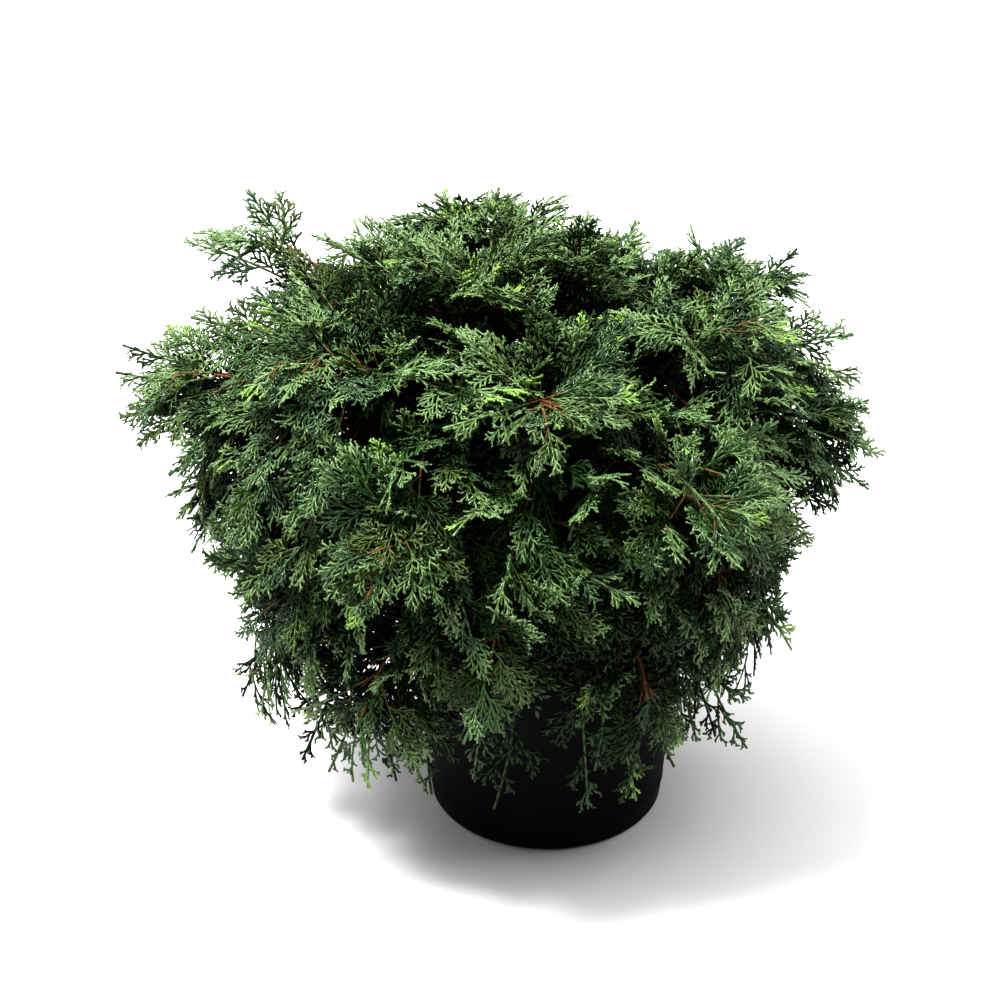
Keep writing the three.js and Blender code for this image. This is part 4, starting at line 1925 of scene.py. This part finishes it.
@dataclass
class Woodwork:
    """The trunk and the bare boughs, with the bark's relief."""

    habit: Habit
    limbs: list[Limb]
    ridge: float = 0.09
    strips: tuple = ((5, 40, 0.5), (9, 17, 0.9), (14, 9, 0.7))
    lobe_depth: float = 0.3
    flare_fade: float = 9
    collar: float = 0.9
    collar_fade: float = 14
    trunk_sides: int = 40
    trunk_rings: int = 64
    bough_sides: int = 16
    bough_rings: int = 44

    def rod(self, name: str, sides: int, rings: int) -> Piece:
        """Adds an upright rod of unit size and cuts rings into its side.

        Args:
            name: The piece's name.
            sides: How many sides it has.
            rings: How many stretches it is cut into.

        Returns:
            The rod.
        """
        deselect()
        bpy.ops.mesh.primitive_cylinder_add(vertices=sides, radius=1, depth=1, end_fill_type="TRIFAN")
        piece = name_active(name)
        edit("DESELECT")
        bpy.ops.mesh.select_mode(type="EDGE")
        bpy.ops.object.mode_set(mode="OBJECT")
        corners = corners_of(piece)
        for edge in piece.data.edges:
            low, high = corners[edge.vertices[0]], corners[edge.vertices[1]]
            edge.select = bool(abs(low[2] - high[2]) > 0.5)
        bpy.ops.object.mode_set(mode="EDIT")
        bpy.ops.mesh.subdivide(number_cuts=rings - 1)
        bpy.ops.object.mode_set(mode="OBJECT")
        return piece

    def relief(self, angle: Array, along: Array, seed: int) -> Array:
        """Gives the bark's height: long strips with ragged ends.

        Args:
            angle: Places round the limb, in radians.
            along: Places along it, in millimetres.
            seed: Picks the pattern.

        Returns:
            The height at each place, in shares of the radius.
        """
        chooser = random.Random(seed)
        height = np.zeros_like(angle)
        for strips, pitch, weight in self.strips:
            lead = chooser.uniform(0, 6.3)
            wander = 0.9 * np.sin(along / pitch + lead) + 0.5 * np.sin(along / (0.41 * pitch) + 2 * lead)
            height += weight * np.sin(strips * angle + 2.2 * wander + lead)
        return self.ridge * height / 2.1

    def wrap(self, piece: Piece, trail: Trail, stretch: Pair,
             radius_at: Callable, level: bool, seed: int) -> None:
        """Carries a unit rod onto a limb and smooths it but for its cut ends.

        Args:
            piece: The rod.
            trail: The limb's curve.
            stretch: Where the limb starts and ends on it.
            radius_at: Gives the radius from a share of the stretch and an angle.
            level: True if the rings stay level.
            seed: Picks the bark's pattern.
        """
        corners = corners_of(piece)
        share = np.round(corners[:, 2] + 0.5, 6)
        angle = np.arctan2(corners[:, 1], corners[:, 0])
        spread = np.hypot(corners[:, 0], corners[:, 1])
        size = float(np.linalg.norm(trail.at(stretch[1]) - trail.at(stretch[0])))
        radius = spread * radius_at(share, angle) * (1 + self.relief(angle, share * size, seed))
        frames = {s: trail.frame(mix(*stretch, s)) for s in np.unique(share)}
        moved = np.empty_like(corners)
        for i, s in enumerate(share):
            point, _, side, normal = frames[s]
            if level:
                side, normal = np.array([1.0, 0, 0]), np.array([0, 1.0, 0])
            moved[i] = point + radius[i] * (cos(angle[i]) * side + sin(angle[i]) * normal)
        move_corners(piece, moved * MM)

        activate(piece)
        edit()
        close_edit()
        bpy.ops.object.shade_smooth_by_angle(angle=radians(50))

    def trunk(self) -> None:
        """Builds the trunk, with its root flare and lobes."""
        habit = self.habit

        def radius_at(share: Array, angle: Array) -> Array:
            """Gives the trunk's radius, flared and lobed at its foot.

            Args:
                share: The share of the trunk.
                angle: The angle round it.

            Returns:
                The radius.
            """
            flare = habit.root_flare * np.exp(-self.flare_fade * share)
            return mix(habit.foot_radius, habit.tip_radius, share) + flare * (
                1 + self.lobe_depth * np.cos(habit.root_lobes * angle))

        piece = self.rod("trunk_bark", self.trunk_sides, self.trunk_rings)
        self.wrap(piece, trunk_trail(habit), (0, 1), radius_at, True, 3)
        finished(piece, BARK.material(), ["trunk"])

    def boughs(self) -> None:
        """Builds all the boughs and joins them."""
        habit, pieces = self.habit, []
        for number, limb in enumerate(self.limbs):

            def radius_at(share: Array, angle: Array) -> Array:
                """Gives the bough's radius, from its collar to its tip."""
                collar = self.collar * np.exp(-self.collar_fade * share)
                return mix(limb.tier.radius, habit.bough_tip_radius, share) + collar

            piece = self.rod(f"bough_bark_{limb.place}", self.bough_sides, self.bough_rings)
            self.wrap(piece, limb.trail, (0, limb.tier.bough), radius_at, False, number)
            pieces.append(piece)
        activate(pieces[0])
        for piece in pieces:
            piece.select_set(True)
        bpy.ops.object.join()
        nodes = [f"bough_{limb.place}" for limb in self.limbs]
        finished(name_active("bough_bark"), BARK.material(), nodes)

    def build(self) -> None:
        """Builds the trunk and the boughs."""
        self.trunk()
        self.boughs()


@dataclass
class NurseryPot:
    """A round tapered nursery pot of thin black plastic. Sizes in millimetres."""

    height: float = 155
    base_radius: float = 75
    taper: float = 0.1
    edge: float = 3
    wall: float = 1.6
    floor: float = 2
    collar_height: float = 19
    collar_step: float = 2
    rim_height: float = 6
    rim_radius: float = 95
    sides: int = 120
    holes: int = 8
    hole_radius: float = 5
    hole_ring: float = 58
    bead: Triple = (14, 15.2, 18)
    bead_rise: float = 0.5
    soft_edge: float = 0.25

    def wall_radius(self, height: float) -> float:
        """Gives the wall's outer radius at a height."""
        return self.base_radius + self.taper * height

    def profile(self) -> list[Pair]:
        """Gives the rings from the underside, up the wall, over the rim and down to the floor.

        Returns:
            The radius and the height of each ring.
        """
        collar_foot = self.height - self.collar_height
        rim_foot = self.height - self.rim_height
        collar = self.wall_radius(collar_foot) + self.collar_step
        low, middle, high = self.bead
        top = self.height
        outer = [
            (self.base_radius - self.edge, 0),
            (self.base_radius - self.edge * 0.3, self.edge * 0.35),
            (self.wall_radius(self.edge), self.edge),
            (self.wall_radius(low), low),
            (self.wall_radius((low + high) / 2) + self.bead_rise, middle),
            (self.wall_radius(high), high),
            (self.wall_radius(60), 60),
            (self.wall_radius(collar_foot - 2), collar_foot - 2),
            (self.wall_radius(collar_foot), collar_foot),
            (collar, collar_foot + self.collar_step),
            (collar + 0.9, rim_foot - 0.6),
            (self.rim_radius - 0.8, rim_foot),
            (self.rim_radius, rim_foot + 1),
            (self.rim_radius, top - 1.4),
            (self.rim_radius - 0.5, top - 0.4),
            (self.rim_radius - 1.4, top),
        ]
        inner = [
            (collar + 1.6 - self.wall, top),
            (collar + 0.9 - self.wall, top - 0.7),
            (collar - self.wall, collar_foot + self.collar_step),
            (self.wall_radius(collar_foot) - self.wall, collar_foot),
            (self.wall_radius(self.edge) - self.wall, self.floor + self.edge),
            (self.base_radius - self.edge, self.floor),
        ]
        return outer + inner

    def shell(self) -> Piece:
        """Draws the shell up from a disc, ring by ring.

        Returns:
            The shell.
        """
        rings = self.profile()
        radius, low = rings[0]
        deselect()
        bpy.ops.mesh.primitive_circle_add(vertices=self.sides, radius=radius * MM, fill_type="NGON",
                                          location=(0, 0, low * MM))
        piece = name_active("pot_shell")
        bpy.ops.object.transform_apply(location=True, rotation=False, scale=False)
        edit()
        for next_radius, high in rings[1:]:
            bpy.ops.mesh.extrude_region_move(TRANSFORM_OT_translate={"value": (0, 0, (high - low) * MM)})
            grow = next_radius / radius
            bpy.ops.transform.resize(value=(grow, grow, 1), center_override=(0, 0, high * MM))
            radius, low = next_radius, high
        close_edit()
        return piece

    def drill(self, piece: Piece) -> None:
        """Cuts the drain holes through the floor.

        Args:
            piece: The shell.
        """
        deselect()
        cutters = []
        for i in range(self.holes):
            spot = compass(360 * (i + 0.5) / self.holes) * self.hole_ring * MM
            bpy.ops.mesh.primitive_cylinder_add(vertices=28, radius=self.hole_radius * MM,
                                                depth=4 * self.floor * MM, location=tuple(spot))
            cutters.append(bpy.context.object)
        for cutter in cutters:
            cutter.select_set(True)
        bpy.ops.object.join()
        cutter = bpy.context.object
        activate(piece)
        cut = piece.modifiers.new("drain_holes", "BOOLEAN")
        cut.operation = "DIFFERENCE"
        cut.solver = "EXACT"
        cut.object = cutter
        bpy.ops.object.modifier_apply(modifier=cut.name)
        bpy.data.objects.remove(cutter)

    def build(self) -> None:
        """Builds the pot with rounded edges."""
        piece = self.shell()
        self.drill(piece)
        activate(piece)
        soften = piece.modifiers.new("soft_edges", "BEVEL")
        soften.width = self.soft_edge * MM
        soften.segments = 2
        soften.limit_method = "ANGLE"
        soften.angle_limit = radians(28)
        bpy.ops.object.modifier_apply(modifier=soften.name)
        bpy.ops.object.shade_smooth_by_angle(angle=radians(32))
        finished(piece, BLACK_PLASTIC.material(), ["pot"])


@dataclass
class Compost:
    """The compost in the pot, with crumbs and bark chips on it. Sizes in millimetres."""

    pot: NurseryPot
    top: float = 139
    fall: float = 4
    mound_radius: float = 28
    gap: float = 1.9
    calm: float = 4
    lumps: tuple = ((23, 0.8), (11, 0.7), (6.1, 0.6), (3.4, 0.5))
    cells: int = 110
    chips: int = 900
    chip_half: Triple = (2.6, 1.4, 0.6)
    chip_gap: float = 5
    chip_sunk: float = 0.9
    chip_tilt: float = 0.3

    def edge(self) -> float:
        """Gives the radius where the surface meets the pot."""
        return self.pot.wall_radius(self.top - self.fall) - self.gap

    def level(self, distance: Array) -> Array:
        """Gives the surface's height at a distance from the middle."""
        return np.interp(distance, [self.mound_radius, self.edge()], [self.top, self.top - self.fall])

    def roughness(self, x: Array, y: Array) -> Array:
        """Gives the lumps of the surface, from broad to fine, never above the top.

        Args:
            x: Places along +X.
            y: Places along +Y.

        Returns:
            The height at each place.
        """
        chooser = random.Random(11)
        height = np.zeros_like(x)
        for pitch, weight in self.lumps:
            for _ in range(3):
                angle, lead = chooser.uniform(0, 6.3), chooser.uniform(0, 6.3)
                along = (x * cos(angle) + y * sin(angle)) * 2 * pi / pitch
                across = (y * cos(angle) - x * sin(angle)) * 2.1 * pi / pitch
                height += weight / 3 * np.sin(along + 1.3 * np.sin(across + lead) + lead)
        return height - 1

    def surface(self) -> Piece:
        """Lays a grid out as a disc, roughens it and closes it down to the pot's floor.

        Returns:
            The bed.
        """
        deselect()
        bpy.ops.mesh.primitive_grid_add(x_subdivisions=self.cells, y_subdivisions=self.cells, size=2)
        piece = name_active("compost_bed")
        corners = corners_of(piece)
        x, y, edge = corners[:, 0], corners[:, 1], self.edge()
        spread = np.maximum(np.abs(x), np.abs(y)) * edge / np.maximum(np.hypot(x, y), 1e-9)
        x, y = x * spread, y * spread
        distance = np.hypot(x, y)
        calm = np.clip((edge - distance) / self.calm, 0, 1)
        z = self.level(distance) + self.roughness(x, y) * calm
        move_corners(piece, np.stack([x, y, z], axis=1) * MM)
        foot = self.pot.floor + self.pot.edge + 1
        bottom = self.pot.wall_radius(self.pot.edge) - self.gap
        drop = foot - (self.top - self.fall)
        edit("DESELECT")
        bpy.ops.mesh.select_mode(type="EDGE")
        bpy.ops.mesh.select_non_manifold()
        bpy.ops.mesh.extrude_edges_move(TRANSFORM_OT_translate={"value": (0, 0, drop * MM)})
        grow = bottom / edge
        bpy.ops.transform.resize(value=(grow, grow, 1), center_override=(0, 0, foot * MM))
        bpy.ops.mesh.edge_face_add()
        close_edit()
        bpy.ops.object.shade_smooth_by_angle(angle=radians(40))
        return piece

    def litter(self) -> tuple[Array, Array]:
        """Gives the crumbs and chips as flattened eight-cornered lumps.

        Returns:
            Their corners and triangles.
        """
        chooser = np.random.default_rng(5)
        box = np.array([[x, y, z] for x in (-1, 1) for y in (-1, 1) for z in (-1, 1)], float)
        faces = np.array([
            [0, 1, 3], [0, 3, 2], [4, 6, 7], [4, 7, 5], [0, 4, 5], [0, 5, 1],
            [2, 3, 7], [2, 7, 6], [0, 2, 6], [0, 6, 4], [1, 5, 7], [1, 7, 3],
        ])
        distance = (self.edge() - self.chip_gap) * np.sqrt(chooser.uniform(0.02, 1, self.chips))
        bearing = chooser.uniform(0, 2 * pi, self.chips)
        half = chooser.uniform(0.5, 1, (self.chips, 3)) * self.chip_half
        half *= chooser.choice([0.5, 0.8, 1.3], (self.chips, 1), p=[0.5, 0.35, 0.15])
        lumps = box * half[:, None] * chooser.uniform(0.65, 1.1, (self.chips, 8, 3))
        turn = chooser.uniform(0, 2 * pi, self.chips)[:, None]
        tilt = chooser.normal(0, self.chip_tilt, self.chips)[:, None]
        x, y, z = lumps[..., 0], lumps[..., 1], lumps[..., 2]
        x, z = x * np.cos(tilt) - z * np.sin(tilt), x * np.sin(tilt) + z * np.cos(tilt)
        x, y = x * np.cos(turn) - y * np.sin(turn), x * np.sin(turn) + y * np.cos(turn)
        x = x + (distance * np.cos(bearing))[:, None]
        y = y + (distance * np.sin(bearing))[:, None]
        z = z + (self.level(distance) - self.chip_sunk)[:, None]
        corners = np.stack([x, y, z], axis=-1).reshape(-1, 3)
        return corners, (np.arange(self.chips)[:, None, None] * 8 + faces).reshape(-1, 3)

    def build(self) -> None:
        """Builds the bed and its litter."""
        finished(self.surface(), COMPOST.material(), ["compost"])
        corners, faces = self.litter()
        chips = piece_from_arrays("compost_chips", corners * MM, faces)
        finished(chips, CHIPS.material(), ["compost"])


@dataclass(frozen=True)
class Lamp:
    """A broad distant light: the side that it shines from, its strength and its width in degrees."""

    name: str
    place: Triple
    strength: float
    softness: float


@dataclass
class Studio:
    """A pale floor, soft lights and the camera. Sizes in metres."""

    target: Triple = (-0.0305, 0, 0.213)
    distance: float = 1.5
    elevation: float = 28
    lens: float = 86.8
    film: float = 36
    floor_size: float = 12
    floor_shade: float = 0.985
    floor_colour: Triple = (0.6, 0.6, 0.598)
    ambient: float = 0.24
    lamps: tuple[Lamp, ...] = (
        Lamp("overhead", (-0.1, 0.05, 1.0), 3.3, 74),
        Lamp("key", (-0.4, -0.2, 1.0), 3.3, 13),
        Lamp("left", (-0.9, 0.3, 0.7), 1.3, 45),
        Lamp("right", (0.9, 0.3, 0.7), 1.5, 45),
    )

    def camera(self) -> None:
        """Adds the camera, looking along +Y and down."""
        tilt = radians(self.elevation)
        back = Vector((0, -cos(tilt), sin(tilt))) * self.distance
        deselect()
        bpy.ops.object.camera_add(location=Vector(self.target) + back,
                                  rotation=(pi / 2 - tilt, 0, 0))
        camera = bpy.context.object
        camera.name = "camera"
        camera.data.lens = self.lens
        camera.data.sensor_width = self.film
        camera.data.sensor_fit = "HORIZONTAL"
        bpy.context.scene.camera = camera

    def light(self, lamp: Lamp) -> None:
        """Adds one broad even light.

        Args:
            lamp: The light.
        """
        deselect()
        bpy.ops.object.light_add(type="SUN", location=lamp.place)
        made = bpy.context.object
        made.name = lamp.name
        made.data.energy = lamp.strength
        made.data.angle = radians(lamp.softness)
        made.rotation_euler = (-Vector(lamp.place)).to_track_quat("-Z", "Y").to_euler()

    def floor(self) -> None:
        """Lays the pale floor."""
        deselect()
        bpy.ops.mesh.primitive_plane_add(size=self.floor_size, location=(0, 0, 0))
        floor = name_active("floor")
        recipe = Recipe("pale_floor")
        grain = recipe.noise(recipe.place(), scale=3, detail=2)
        pale = tuple(self.floor_shade * part for part in self.floor_colour)
        colour = recipe.ramp(grain, [(0.3, pale), (0.7, self.floor_colour)])
        floor.data.materials.append(recipe.finish(Base_Color=colour, Roughness=1, Specular_IOR_Level=0))
        floor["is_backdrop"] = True

    def world(self) -> None:
        """Sets an even white surround, which looks bright itself but lights the plant only a little."""
        world = bpy.data.worlds.new("studio")
        world.use_nodes = True
        tree = world.node_tree
        surround = tree.nodes["Background"]
        kinds = ("Background", "LightPath", "MixShader")
        backdrop, seen, either = (tree.nodes.new(f"ShaderNode{kind}") for kind in kinds)
        surround.inputs["Color"].default_value = backdrop.inputs["Color"].default_value = (1, 1, 1, 1)
        surround.inputs["Strength"].default_value = self.ambient
        tree.links.new(seen.outputs["Is Camera Ray"], either.inputs["Fac"])
        tree.links.new(surround.outputs[0], either.inputs[1])
        tree.links.new(backdrop.outputs[0], either.inputs[2])
        tree.links.new(either.outputs[0], tree.nodes["World Output"].inputs["Surface"])
        bpy.context.scene.world = world

    def build(self) -> None:
        """Sets the whole studio up."""
        self.camera()
        self.floor()
        self.world()
        for lamp in self.lamps:
            self.light(lamp)
        bpy.context.scene.view_settings.view_transform = "Standard"
        bpy.context.scene.view_settings.look = "High Contrast"


def write_sizes(cad_box: object) -> None:
    """Logs the solids' box and the dressed model's box beside each other.

    Args:
        cad_box: The solids' box.
    """
    boxes = {"cad": cad_box, "visual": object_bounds()}
    plain = {name: [[float(x) for x in corner] for corner in box] for name, box in boxes.items()}
    LOG.info("sizes: %s", plain)


def main() -> None:
    """Builds the studio, the pot and the plant."""
    logging.basicConfig(level=logging.INFO, format="%(name)s: %(message)s")
    cad_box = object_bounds()
    habit = Habit()
    limbs = plant_limbs(habit)
    pot = NurseryPot()
    pot.build()
    Compost(pot).build()
    Woodwork(habit, limbs).build()
    Foliage(habit, limbs).build()
    Studio().build()
    deselect()
    write_sizes(cad_box)


if __name__ == "__main__":
    main()
